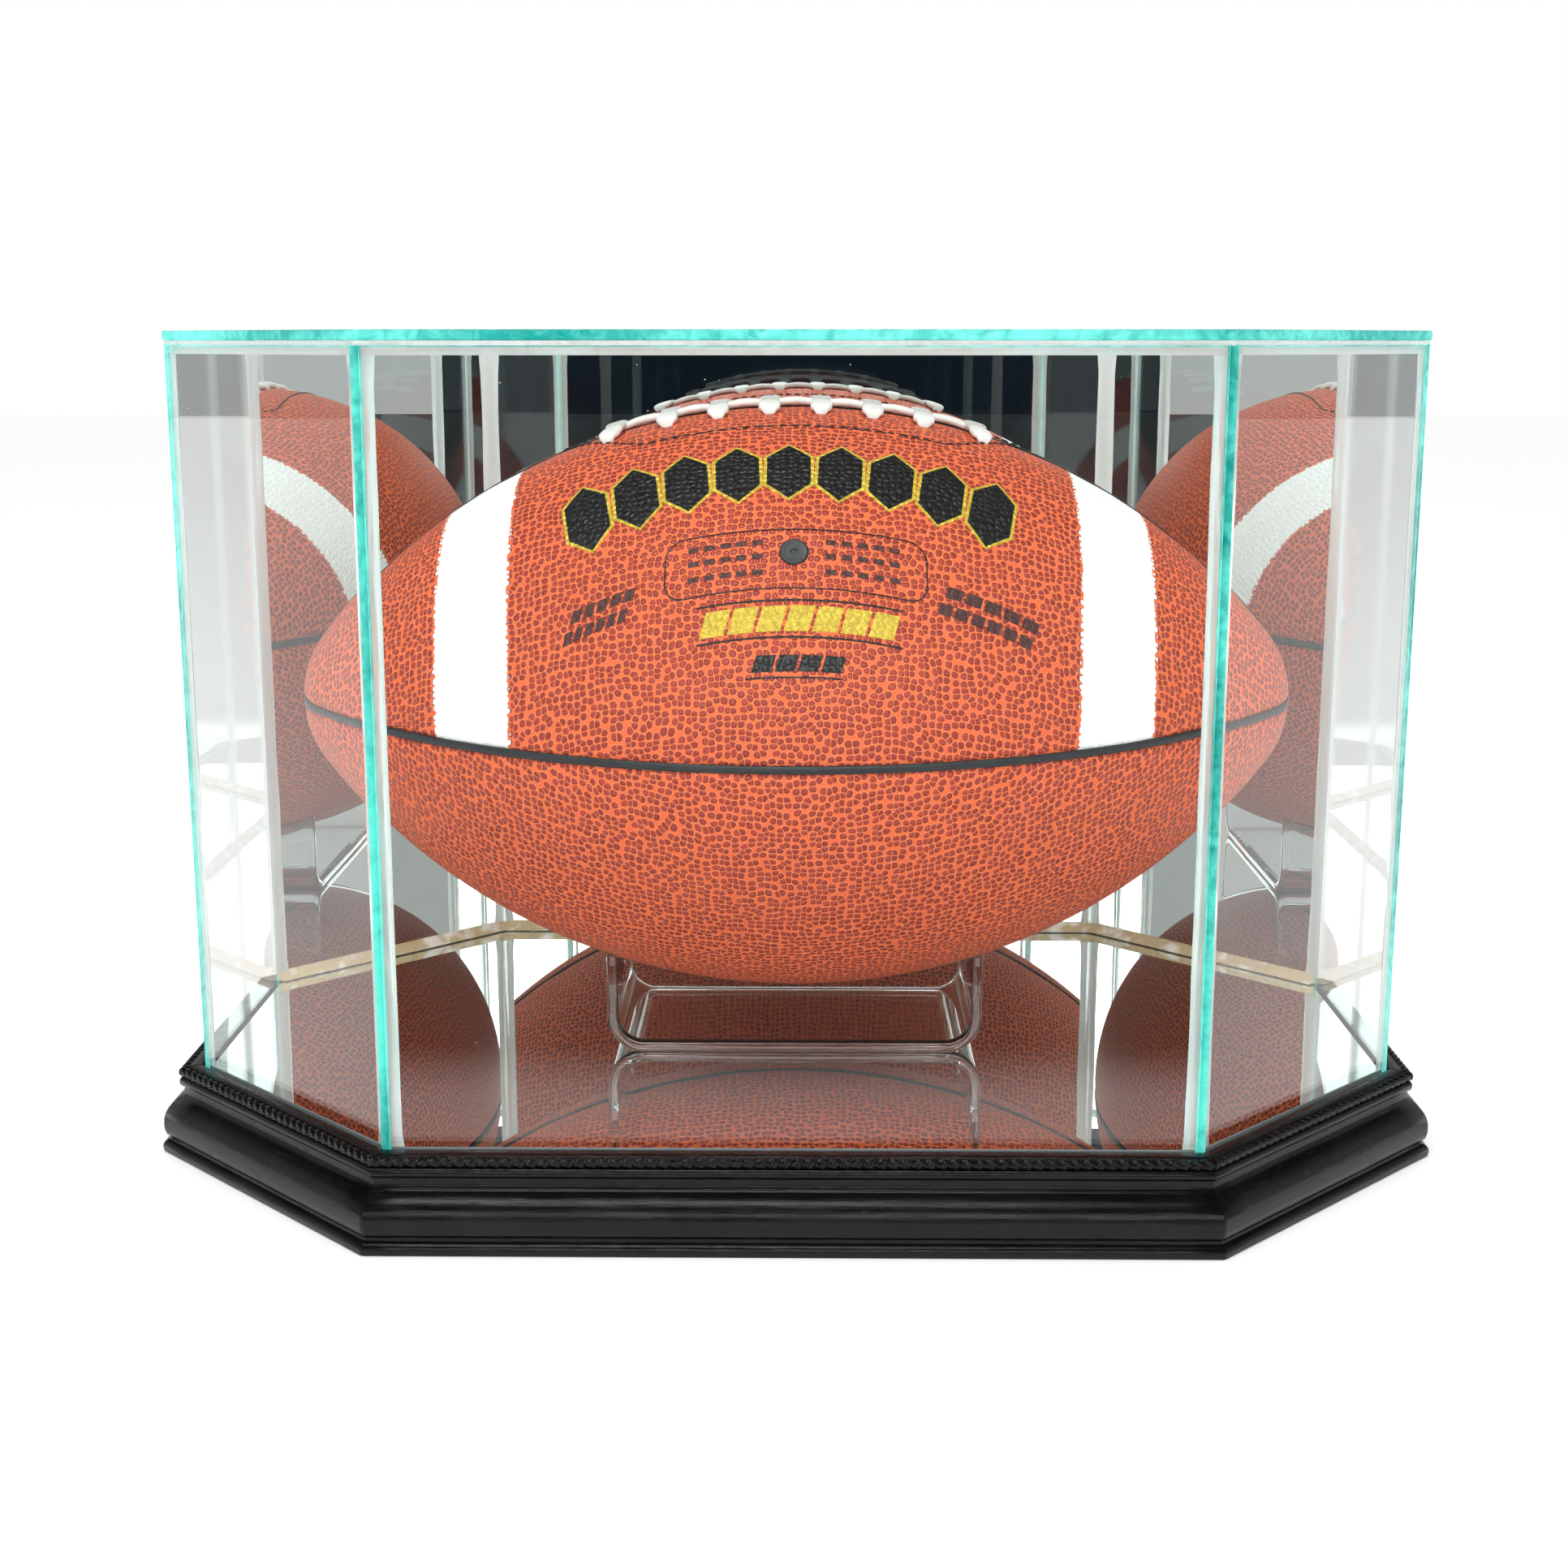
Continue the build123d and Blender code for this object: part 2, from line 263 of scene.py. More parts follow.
def new_group(name, inputs, outputs):
    """An empty shader node group with named sockets."""
    tree = bpy.data.node_groups.new(name, "ShaderNodeTree")
    for label, kind, value in inputs:
        socket = tree.interface.new_socket(label, in_out="INPUT", socket_type="NodeSocket" + kind)
        if value is not None:
            socket.default_value = value
    for label, kind in outputs:
        tree.interface.new_socket(label, in_out="OUTPUT", socket_type="NodeSocket" + kind)
    taken = tree.nodes.new("NodeGroupInput").outputs
    given = tree.nodes.new("NodeGroupOutput").inputs
    return tree, taken, given


def use_group(tree, group, inputs):
    """A group placed in a material with its own values."""
    made = tree.nodes.new("ShaderNodeGroup")
    made.node_tree = group
    for name, value in inputs.items():
        if isinstance(value, bpy.types.NodeSocket):
            tree.links.new(value, made.inputs[name])
        else:
            made.inputs[name].default_value = value
    return made.outputs


def new_material(name):
    """A material with a bare Principled surface, its tree, its shader and its output."""
    made = bpy.data.materials.new(name)
    made.use_nodes = True
    tree = made.node_tree
    tree.nodes.clear()
    shader = put(tree, "BsdfPrincipled")
    output = put(tree, "OutputMaterial", {"Surface": shader.outputs[0]})
    return made, tree, shader, output


def feed(tree, shader, **values):
    """Sets or links sockets of a Principled surface, with underscores for spaces."""
    for name, value in values.items():
        socket = shader.inputs[name.replace("_", " ")]
        if isinstance(value, bpy.types.NodeSocket):
            tree.links.new(value, socket)
        elif isinstance(value, tuple) and len(value) == 3:
            socket.default_value = (*value, 1)
        else:
            socket.default_value = value


def bump(tree, height, strength, distance):
    """A surface normal that follows a height."""
    inputs = {"Height": height, "Strength": strength, "Distance": distance}
    return put(tree, "Bump", inputs).outputs["Normal"]


def skin_place(tree):
    """A piece's own surface coordinates, in metres."""
    return put(tree, "UVMap", uv_map="skin").outputs["UV"]


def solid_place(tree):
    """The place in the object's own space, in metres."""
    return put(tree, "TexCoord").outputs["Object"]


def stretched(tree, vector, scale):
    """A vector scaled differently along each axis."""
    return put(tree, "Mapping", {"Vector": vector, "Scale": scale}).outputs["Vector"]


# ---- shared effects ----

def make_dust_group():
    """Sparse round specks."""
    tree, taken, given = new_group(
        "dust",
        [("Vector", "Vector", None), ("Spacing", "Float", 0.006), ("Size", "Float", 0.05)],
        [("Specks", "Float")],
    )
    scale = calc(tree, "DIVIDE", 1.0, taken["Spacing"])
    cells = put(tree, "TexVoronoi", {"Vector": taken["Vector"], "Scale": scale})
    kept = calc(tree, "GREATER_THAN", put(tree, "SeparateColor", {0: cells.outputs["Color"]}).outputs[0], 0.6)
    round_speck = calc(tree, "LESS_THAN", cells.outputs["Distance"], taken["Size"])
    tree.links.new(calc(tree, "MULTIPLY", kept, round_speck), given["Specks"])
    return tree


def make_grain_group():
    """Wood pores under paint, long in the first coordinate."""
    tree, taken, given = new_group(
        "painted_grain",
        [("Vector", "Vector", None), ("Length", "Float", 0.02), ("Width", "Float", 0.0012)],
        [("Height", "Float"), ("Pores", "Float"), ("Cloud", "Float")],
    )
    along = calc(tree, "DIVIDE", 1.0, taken["Length"])
    across = calc(tree, "DIVIDE", 1.0, taken["Width"])
    parts = put(tree, "SeparateXYZ", {0: taken["Vector"]}).outputs
    place = put(
        tree,
        "CombineXYZ",
        {0: calc(tree, "MULTIPLY", parts[0], along), 1: calc(tree, "MULTIPLY", parts[1], across)},
    )
    fine = put(tree, "TexNoise", {"Vector": place.outputs[0], "Scale": 1.0, "Detail": 5.0, "Roughness": 0.6})
    pores = put(tree, "TexNoise", {"Vector": place.outputs[0], "Scale": 2.6, "Detail": 3.0, "Roughness": 0.8})
    cloud = put(tree, "TexNoise", {"Vector": taken["Vector"], "Scale": 60.0, "Detail": 3.0})
    tree.links.new(fine.outputs["Fac"], given["Height"])
    tree.links.new(ramp(tree, pores.outputs["Fac"], 0.62, 0.72), given["Pores"])
    tree.links.new(cloud.outputs["Fac"], given["Cloud"])
    return tree


def make_pebble_group():
    """Pebbled hide: raised round dots parted by a net of valleys."""
    tree, taken, given = new_group(
        "pebbled_hide",
        [("Vector", "Vector", None), ("Cell", "Float", 0.0022), ("Dot", "Float", 0.4)],
        [("Pebble", "Float"), ("Height", "Float"), ("Tone", "Float"), ("Rim", "Float")],
    )
    warp = put(tree, "TexNoise", {"Vector": taken["Vector"], "Scale": 90.0, "Detail": 1.0})
    shift = put(tree, "VectorMath", {0: warp.outputs["Color"], 1: (0.5, 0.5, 0.5)}, operation="SUBTRACT")
    moved = put(tree, "VectorMath", {0: shift.outputs[0], "Scale": 0.0034}, operation="SCALE")
    place = put(tree, "VectorMath", {0: taken["Vector"], 1: moved.outputs[0]}, operation="ADD").outputs[0]
    scale = calc(tree, "DIVIDE", 1.0, taken["Cell"])
    inputs = {"Vector": place, "Scale": scale, "Randomness": 0.6}
    edge = put(
        tree, "TexVoronoi", inputs, voronoi_dimensions="2D", feature="DISTANCE_TO_EDGE"
    ).outputs["Distance"]
    cell = put(tree, "TexVoronoi", inputs, voronoi_dimensions="2D").outputs
    inside = calc(tree, "SUBTRACT", taken["Dot"], cell["Distance"])
    clear_of_next = calc(tree, "SUBTRACT", edge, 0.06)
    depth = put(tree, "Math", {0: inside, 1: clear_of_next, 2: 0.12}, operation="SMOOTH_MIN").outputs[0]
    tree.links.new(ramp(tree, depth, -0.06, 0.06), given["Pebble"])
    tree.links.new(ramp(tree, depth, -0.12, 0.22), given["Height"])
    tree.links.new(put(tree, "SeparateColor", {0: cell["Color"]}).outputs[0], given["Tone"])
    near = ramp(tree, depth, -0.15, -0.05)
    beyond = ramp(tree, depth, -0.05, 0.02, 1.0, 0.0)
    tree.links.new(calc(tree, "MULTIPLY", near, beyond), given["Rim"])
    return tree


def make_cut_edge_group():
    """The ripples and chips of a glass edge that was scored and snapped."""
    tree, taken, given = new_group(
        "cut_edge",
        [("Vector", "Vector", None), ("Ripple", "Float", 0.004)],
        [("Shade", "Float"), ("Height", "Float")],
    )
    scale = calc(tree, "DIVIDE", 1.0, taken["Ripple"])
    inputs = {"Vector": taken["Vector"], "Scale": scale, "Detail": 3.0, "Distortion": 0.6}
    wide = put(tree, "TexNoise", inputs)
    slow = put(tree, "TexNoise", {"Vector": taken["Vector"], "Scale": 14.0, "Detail": 1.0})
    both = calc(tree, "ADD", calc(tree, "MULTIPLY", wide.outputs["Fac"], 0.6), slow.outputs["Fac"])
    tree.links.new(ramp(tree, both, 0.55, 1.05), given["Shade"])
    tree.links.new(wide.outputs["Fac"], given["Height"])
    return tree


def make_knurl_group():
    """Two crossing sets of fine ridges."""
    tree, taken, given = new_group(
        "knurl",
        [("Vector", "Vector", None), ("Pitch", "Float", 0.0007)],
        [("Height", "Float")],
    )
    parts = put(tree, "SeparateXYZ", {0: taken["Vector"]}).outputs
    pitch = calc(tree, "DIVIDE", math.tau, taken["Pitch"])
    waves = []
    for operation in ("ADD", "SUBTRACT"):
        slant = calc(tree, operation, parts[0], parts[1])
        wave = calc(tree, "SINE", calc(tree, "MULTIPLY", slant, pitch))
        waves.append(calc(tree, "ADD", calc(tree, "MULTIPLY", wave, 0.5), 0.5))
    tree.links.new(calc(tree, "MULTIPLY", waves[0], waves[1]), given["Height"])
    return tree


DUST = make_dust_group()
GRAIN = make_grain_group()
PEBBLES = make_pebble_group()
CUT_EDGE = make_cut_edge_group()
KNURL = make_knurl_group()


# ---- materials ----

def black_lacquer():
    """Satin black paint over open-grained moulding."""
    made, tree, shader, _ = new_material("black_lacquer")
    grain = use_group(tree, GRAIN, {"Vector": skin_place(tree)})
    cloud = ramp(tree, grain["Cloud"], 0.35, 0.7)
    colour = blend_colours(tree, cloud, (0.002, 0.002, 0.0022), (0.005, 0.0046, 0.0045))
    colour = blend_colours(tree, grain["Pores"], colour, (0.02, 0.016, 0.014))
    rough = ramp(tree, grain["Height"], 0.3, 0.7, 0.16, 0.3)
    height = calc(tree, "SUBTRACT", grain["Height"], calc(tree, "MULTIPLY", grain["Pores"], 0.8))
    feed(tree, shader, Base_Color=colour, Roughness=rough, Specular_IOR_Level=0.26)
    feed(tree, shader, Normal=bump(tree, height, 0.35, 0.00025))
    return made


def let_light_through(tree, shader, output, tint):
    """Shadow and bounce rays pass straight through; the eye still sees the real surface."""
    rays = put(tree, "LightPath").outputs
    passing = calc(tree, "MAXIMUM", rays["Is Shadow Ray"], rays["Is Diffuse Ray"])
    clear = put(tree, "BsdfTransparent", {"Color": (*tint, 1)})
    mixed = put(tree, "MixShader", {0: passing, 1: shader.outputs[0], 2: clear.outputs[0]})
    tree.links.new(mixed.outputs[0], output.inputs["Surface"])


def clear_glass():
    """Float glass with a few specks of dust."""
    made, tree, shader, output = new_material("clear_glass")
    dust = use_group(tree, DUST, {"Vector": solid_place(tree), "Spacing": 0.011, "Size": 0.018})
    feed(tree, shader, Base_Color=(0.985, 0.998, 0.995), IOR=1.5, Transmission_Weight=1.0)
    feed(tree, shader, Roughness=calc(tree, "MULTIPLY", dust["Specks"], 0.5))
    let_light_through(tree, shader, output, (0.99, 0.998, 0.996))
    return made


def glass_edge():
    """The green-blue cut edge of float glass, with a painted glow: it emits its own teal colour as if lit."""
    made, tree, shader, _ = new_material("glass_edge")
    ripple = use_group(tree, CUT_EDGE, {"Vector": solid_place(tree)})
    colour = blend_colours(tree, ripple["Shade"], (0.0, 0.28, 0.25), (0.17, 0.78, 0.69))
    feed(tree, shader, Base_Color=colour, Roughness=0.22, Transmission_Weight=0.25)
    # Painted light: the emission makes the cut edge glow in its own colour, standing in for light caught in
    # the edge.
    feed(tree, shader, Emission_Color=colour, Emission_Strength=0.22)
    feed(tree, shader, Normal=bump(tree, ripple["Height"], 0.6, 0.0006))
    return made


def silvered_face():
    """The reflecting face of a mirror, lightly dusted."""
    made, tree, shader, _ = new_material("silvered_face")
    dust = use_group(tree, DUST, {"Vector": solid_place(tree), "Spacing": 0.009, "Size": 0.022})
    colour = blend_colours(tree, dust["Specks"], (0.86, 0.91, 0.89), (0.8, 0.82, 0.84))
    metal = calc(tree, "SUBTRACT", 1.0, calc(tree, "MULTIPLY", dust["Specks"], 0.5))
    feed(tree, shader, Base_Color=colour, Metallic=metal)
    feed(tree, shader, Roughness=calc(tree, "MULTIPLY", dust["Specks"], 0.6))
    return made


def mirror_paint():
    """The grey protective paint on the back of a mirror."""
    made, tree, shader, _ = new_material("mirror_paint")
    place = solid_place(tree)
    cloud = put(tree, "TexNoise", {"Vector": place, "Scale": 45.0, "Detail": 5.0}).outputs["Fac"]
    peel = put(tree, "TexNoise", {"Vector": place, "Scale": 900.0, "Detail": 2.0}).outputs["Fac"]
    feed(tree, shader, Base_Color=blend_colours(tree, cloud, (0.12, 0.14, 0.15), (0.2, 0.22, 0.23)))
    feed(tree, shader, Roughness=ramp(tree, cloud, 0.3, 0.7, 0.4, 0.6))
    feed(tree, shader, Normal=bump(tree, peel, 0.25, 0.0004))
    return made


def clear_silicone():
    """Clear sealant, slightly milky, with trapped ripples."""
    made, tree, shader, output = new_material("clear_silicone")
    place = solid_place(tree)
    ripples = put(tree, "TexNoise", {"Vector": stretched(tree, place, (400, 400, 60)), "Scale": 1.0})
    feed(tree, shader, Base_Color=(0.95, 0.97, 0.96), IOR=1.41, Transmission_Weight=0.72)
    feed(tree, shader, Roughness=ramp(tree, ripples.outputs["Fac"], 0.3, 0.7, 0.08, 0.25))
    feed(tree, shader, Normal=bump(tree, ripples.outputs["Fac"], 0.35, 0.0005))
    let_light_through(tree, shader, output, (0.93, 0.95, 0.94))
    return made


def aged_silicone():
    """Sealant gone cream with age, with a few whiter blobs."""
    made, tree, shader, _ = new_material("aged_silicone")
    place = solid_place(tree)
    blobs = put(tree, "TexNoise", {"Vector": place, "Scale": 130.0, "Detail": 2.0}).outputs["Fac"]
    waves = put(tree, "TexNoise", {"Vector": place, "Scale": 420.0, "Detail": 2.0}).outputs["Fac"]
    colour = blend_colours(tree, ramp(tree, blobs, 0.5, 0.66), (0.62, 0.5, 0.29), (0.9, 0.88, 0.8))
    feed(tree, shader, Base_Color=colour, Roughness=ramp(tree, waves, 0.3, 0.7, 0.2, 0.4))
    feed(tree, shader, Subsurface_Weight=0.3, Subsurface_Radius=Vector((0.003, 0.002, 0.001)))
    feed(tree, shader, Normal=bump(tree, waves, 0.5, 0.0006))
    return made


def acrylic():
    """Clear polished acrylic with faint handling marks."""
    made, tree, shader, output = new_material("acrylic")
    marks = use_group(tree, DUST, {"Vector": solid_place(tree), "Spacing": 0.005, "Size": 0.03})
    feed(tree, shader, Base_Color=(0.985, 0.99, 0.99), IOR=1.49, Transmission_Weight=1.0)
    feed(tree, shader, Roughness=calc(tree, "MULTIPLY", marks["Specks"], 0.3))
    let_light_through(tree, shader, output, (0.95, 0.96, 0.96))
    return made


STRIPE_INNER = 73.8 * MM
STRIPE_OUTER = 95.0 * MM
STRIPE_LEAN = 2.6 * MM
PEBBLE_CELL = 1.95 * MM


def leather(name, striped):
    """Pebbled football leather; the upper panels carry a painted white stripe near each end."""
    made, tree, shader, _ = new_material(name)
    place = solid_place(tree)
    hide = use_group(tree, PEBBLES, {"Vector": skin_place(tree), "Cell": PEBBLE_CELL, "Dot": 0.46})
    patch = put(tree, "TexNoise", {"Vector": place, "Scale": 28.0, "Detail": 3.0}).outputs["Fac"]
    valley = blend_colours(tree, patch, (0.72, 0.1, 0.024), (0.8, 0.13, 0.03))
    valley = blend_colours(tree, hide["Rim"], valley, (0.92, 0.23, 0.07))
    dark = blend_colours(tree, hide["Tone"], (0.3, 0.026, 0.012), (0.42, 0.042, 0.02))
    colour = blend_colours(tree, hide["Pebble"], valley, dark)
    rough = ramp(tree, hide["Pebble"], 0.0, 1.0, 0.6, 0.4)
    relief = hide["Height"]
    if striped:
        stripe = stripe_mask(tree, place, relief)
        colour = blend_colours(tree, stripe, colour, (0.93, 0.93, 0.91))
        rough = calc(tree, "ADD", rough, calc(tree, "MULTIPLY", stripe, -0.08))
        flatter = calc(tree, "SUBTRACT", 1.0, calc(tree, "MULTIPLY", stripe, 0.55))
        relief = calc(tree, "MULTIPLY", relief, flatter)
    fine = put(tree, "TexNoise", {"Vector": place, "Scale": 2600.0, "Detail": 2.0}).outputs["Fac"]
    relief = calc(tree, "ADD", relief, calc(tree, "MULTIPLY", fine, 0.06))
    feed(tree, shader, Base_Color=colour, Roughness=rough, Specular_IOR_Level=0.5)
    feed(tree, shader, Normal=bump(tree, relief, 0.8, 0.0005))
    return made


def stripe_mask(tree, place, relief):
    """1 on the two painted bands across the ball, their edges broken by the pebbles."""
    parts = put(tree, "SeparateXYZ", {0: place}).outputs
    across = calc(tree, "ABSOLUTE", parts[0])
    height = ramp(tree, parts[2], BALL_CENTRE.z, BALL_CENTRE.z + BALL_RADIUS)
    lean = calc(tree, "MULTIPLY", height, STRIPE_LEAN)
    bite = calc(tree, "MULTIPLY", calc(tree, "SUBTRACT", relief, 0.5), 0.9 * MM)
    across = calc(tree, "SUBTRACT", across, lean)
    inner = calc(tree, "ADD", across, bite)
    outer = calc(tree, "SUBTRACT", across, bite)
    inside = ramp(tree, inner, STRIPE_INNER - 0.15 * MM, STRIPE_INNER + 0.15 * MM)
    beyond = ramp(tree, outer, STRIPE_OUTER - 0.15 * MM, STRIPE_OUTER + 0.15 * MM, 1.0, 0.0)
    return calc(tree, "MULTIPLY", inside, beyond)


def black_rubber():
    """Matt black rubber with a fine skin."""
    made, tree, shader, _ = new_material("black_rubber")
    place = solid_place(tree)
    skin = put(tree, "TexNoise", {"Vector": place, "Scale": 1400.0, "Detail": 3.0}).outputs["Fac"]
    patch = put(tree, "TexNoise", {"Vector": place, "Scale": 120.0, "Detail": 3.0}).outputs["Fac"]
    feed(tree, shader, Base_Color=blend_colours(tree, patch, (0.012, 0.014, 0.016), (0.035, 0.038, 0.04)))
    feed(tree, shader, Roughness=ramp(tree, patch, 0.3, 0.7, 0.38, 0.52))
    feed(tree, shader, Normal=bump(tree, skin, 0.3, 0.0002))
    return made


def lace_rubber(name, knurled):
    """Soft white lace plastic, with a knurled grip on top of the cross laces; the knurl's grooves are
    darkened with painted shade.
    """
    made, tree, shader, _ = new_material(name)
    place = solid_place(tree)
    patch = put(tree, "TexNoise", {"Vector": place, "Scale": 260.0, "Detail": 4.0}).outputs["Fac"]
    colour = blend_colours(tree, ramp(tree, patch, 0.35, 0.7), (0.7, 0.7, 0.66), (0.8, 0.8, 0.77))
    height = patch
    if knurled:
        skin = skin_place(tree)
        ridges = use_group(tree, KNURL, {"Vector": skin})["Height"]
        along = calc(tree, "ABSOLUTE", put(tree, "SeparateXYZ", {0: skin}).outputs[0])
        grip = ramp(tree, along, 5.6 * MM, 6.4 * MM, 1.0, 0.0)
        ridges = calc(tree, "MULTIPLY", ridges, grip)
        # Painted shade: the grooves between the knurl's ridges are coloured darker, where shade would fall.
        groove_shade = calc(tree, "SUBTRACT", grip, ridges, clamp=True)
        colour = blend_colours(tree, calc(tree, "MULTIPLY", groove_shade, 0.5), colour, (0.36, 0.35, 0.31))
        height = calc(tree, "ADD", calc(tree, "MULTIPLY", patch, 0.2), ridges)
    feed(tree, shader, Base_Color=colour, Roughness=0.42, Subsurface_Weight=0.08)
    feed(tree, shader, Subsurface_Radius=Vector((0.002, 0.002, 0.0016)), Subsurface_Scale=1.0)
    feed(tree, shader, Normal=bump(tree, height, 0.5, 0.00025))
    return made


def print_ink(name, colour, metal, rough):
    """A printed or foiled mark that dips into the pebbles under it."""
    made, tree, shader, _ = new_material(name)
    hide = use_group(tree, PEBBLES, {"Vector": skin_place(tree), "Cell": PEBBLE_CELL, "Dot": 0.46})
    patch = put(tree, "TexNoise", {"Vector": solid_place(tree), "Scale": 900.0, "Detail": 4.0}).outputs["Fac"]
    worn = ramp(tree, patch, 0.3, 0.75)
    darker = tuple(part * 0.72 for part in colour)
    feed(tree, shader, Base_Color=blend_colours(tree, worn, darker, colour), Metallic=metal)
    feed(tree, shader, Roughness=ramp(tree, patch, 0.3, 0.7, rough, rough + 0.15))
    feed(tree, shader, Normal=bump(tree, hide["Height"], 0.6, 0.0004))
    return made


def thread():
    """Waxed black thread, twisted."""
    made, tree, shader, _ = new_material("thread")
    wave = put(tree, "TexWave", {"Vector": skin_place(tree), "Scale": 900.0, "Distortion": 1.0})
    colour = blend_colours(tree, wave.outputs["Fac"], (0.008, 0.008, 0.009), (0.03, 0.028, 0.028))
    feed(tree, shader, Base_Color=colour, Roughness=0.5)
    feed(tree, shader, Normal=bump(tree, wave.outputs["Fac"], 0.5, 0.0002))
    return made


def hardboard():
    """Brown pressed board."""
    made, tree, shader, _ = new_material("hardboard")
    place = solid_place(tree)
    fibre = put(tree, "TexNoise", {"Vector": place, "Scale": 700.0, "Detail": 6.0, "Roughness": 0.8})
    patch = put(tree, "TexNoise", {"Vector": place, "Scale": 30.0, "Detail": 3.0}).outputs["Fac"]
    base = blend_colours(tree, patch, (0.17, 0.095, 0.05), (0.24, 0.14, 0.075))
    colour = blend_colours(tree, ramp(tree, fibre.outputs["Fac"], 0.4, 0.75), base, (0.34, 0.21, 0.12))
    feed(tree, shader, Base_Color=colour, Roughness=0.75)
    feed(tree, shader, Normal=bump(tree, fibre.outputs["Fac"], 0.4, 0.0003))
    return made


def plain_steel(name, colour):
    """Drawn or plated steel with faint draw marks."""
    made, tree, shader, _ = new_material(name)
    place = stretched(tree, solid_place(tree), (3000, 3000, 150))
    marks = put(tree, "TexNoise", {"Vector": place, "Scale": 1.0, "Detail": 4.0}).outputs["Fac"]
    darker = tuple(part * 0.7 for part in colour)
    feed(tree, shader, Base_Color=blend_colours(tree, marks, darker, colour), Metallic=1.0)
    feed(tree, shader, Roughness=ramp(tree, marks, 0.3, 0.7, 0.25, 0.45))
    feed(tree, shader, Normal=bump(tree, marks, 0.2, 0.0001))
    return made


def dress_node(name, material):
    """A CAD node that keeps its shape takes a detailed material."""
    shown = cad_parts[name]
    shown.data.materials.clear()
    shown.data.materials.append(material)


# ---- base ----

GRAIN_RING = 8 * MM
MITRE_EASE = 0.3 * MM
ROPE_PITCH = 3.0 * MM
ROPE_CENTRE = (5.15 * MM, RAIL_TOP - 1.45 * MM)
ROPE_RADIUS = 1.4 * MM
ROPE_SIDES = 16
ROPE_STEP = ROPE_PITCH / 8
ROPE_STRANDS = 3
LEDGE_TOP = WALL_BOTTOM
RAIL_INNER = rail_high.y + HALF_DEPTH


def rail_outline():
    """The rail's section, without its rope: distance out from the glass, and height."""
    inner = -RAIL_INNER / MM
    points = [(11.3, 0), (inner, 0), (inner, LEDGE_TOP / MM), (0.5, LEDGE_TOP / MM), (0.5, 24), (3.8, 24)]
    points += [(4.0, 23.3), (4.4, 22.4), (4.9, 21.3)]
    points += arc((5.0, 21.3), (6.5, 19.8), (5.3, 18.3), 12)
    points += [(5.3, 18.3), (5.3, 16.4)]
    points += arc((6.2, 15.2), (10.0, 12.0), (11.0, 8.0), 14)
    points += arc((11.0, 8.0), (10.9, 6.4), (10.4, 4.9), 6)
    points += [(10.4, 4.9), (9.8, 4.5), (9.8, 3.5)]
    points += arc((9.9, 3.4), (11.1, 2.7), (11.6, 1.4), 7)
    points += [(11.6, 1.4)]
    return [(x * MM, y * MM) for x, y in ease_corners(points, 0.3)]


def rail_piece(index, material):
    """One rail with its carved rope, cut to the mitre at both ends."""
    start, end, along, outward = wall_line(index, 0)
    middle = (start + end) / 2
    half = (end - start).length / 2
    outline = rail_outline()
    centre = (0.0, 10 * MM)
    lengths = [0.0]
    for number in range(1, len(outline)):
        lengths.append(lengths[-1] + math.dist(outline[number], outline[number - 1]))
    points, uvs = [], []

    def place(out, height, share):
        """A point of the section, and how far along the rail it stands."""
        reach = half + out * EIGHTH
        travel = share * reach
        return middle + outward * out + along * travel + Vector((0, 0, height)), travel

    count = max(2, round(2 * half / GRAIN_RING))
    ease = MITRE_EASE / half
    shares = [-1, -1 + ease] + [-1 + 2 * step / count for step in range(1, count)] + [1 - ease, 1]
    for number, share in enumerate(shares):
        inset = 0.985 if number in (0, len(shares) - 1) else 1.0
        for (out, height), girth in zip(outline, lengths):
            out = centre[0] + (out - centre[0]) * inset
            height = centre[1] + (height - centre[1]) * inset if height > 1 * MM else height
            spot, travel = place(out, height, share)
            points.append(spot)
            uvs.append((travel + index * 0.37, girth))
    faces = tube_faces(len(shares), len(outline))
    first = len(points)
    rings = round(2 * half / ROPE_STEP)
    for ring in range(rings + 1):
        share = -1 + 2 * ring / rings
        for side in range(ROPE_SIDES):
            angle = math.tau * side / ROPE_SIDES
            out = ROPE_CENTRE[0] + ROPE_RADIUS * math.cos(angle)
            travel = share * (half + out * EIGHTH)
            twist = 0.5 * (ROPE_STRANDS * angle + math.tau * travel / ROPE_PITCH)
            swell = ROPE_RADIUS * (0.62 + 0.38 * math.sqrt(abs(math.cos(twist))))
            out = ROPE_CENTRE[0] + swell * math.cos(angle)
            height = ROPE_CENTRE[1] + swell * math.sin(angle)
            spot, travel = place(out, height, share)
            points.append(spot)
            uvs.append((travel, angle * ROPE_RADIUS))
    faces += tube_faces(rings + 1, ROPE_SIDES, first)
    name = WALLS[index]
    return piece(
        f"moulding_{name}", points, faces, "base", [material], [f"rail_{name}"], uvs, 30
    )


ARRIS = 0.25 * MM
HAIR = 0.03 * MM


def plate_piece(name, outline, low, high, body, materials, node):
    """A flat plate on any outline, its edges eased; the top face, the rim and the underside in turn."""
    centre = sum(outline, Vector()) / len(outline)
    layers = [(low, ARRIS), (low + ARRIS, 0), (high - ARRIS, 0), (high, ARRIS)]
    points = []
    for height, inset in layers:
        for corner in outline:
            inward = (centre - corner).normalized()
            spot = corner + inward * inset * 1.3
            points.append((spot.x, spot.y, height))
    count = len(outline)
    faces = tube_faces(len(layers), count)
    made = piece(name, points, faces, body, materials, [node], sharp=20)
    for polygon in made.data.polygons:
        if polygon.normal.z > 0.99:
            polygon.material_index = 0
        elif polygon.normal.z < -0.99:
            polygon.material_index = 2
        else:
            polygon.material_index = 1
    return made


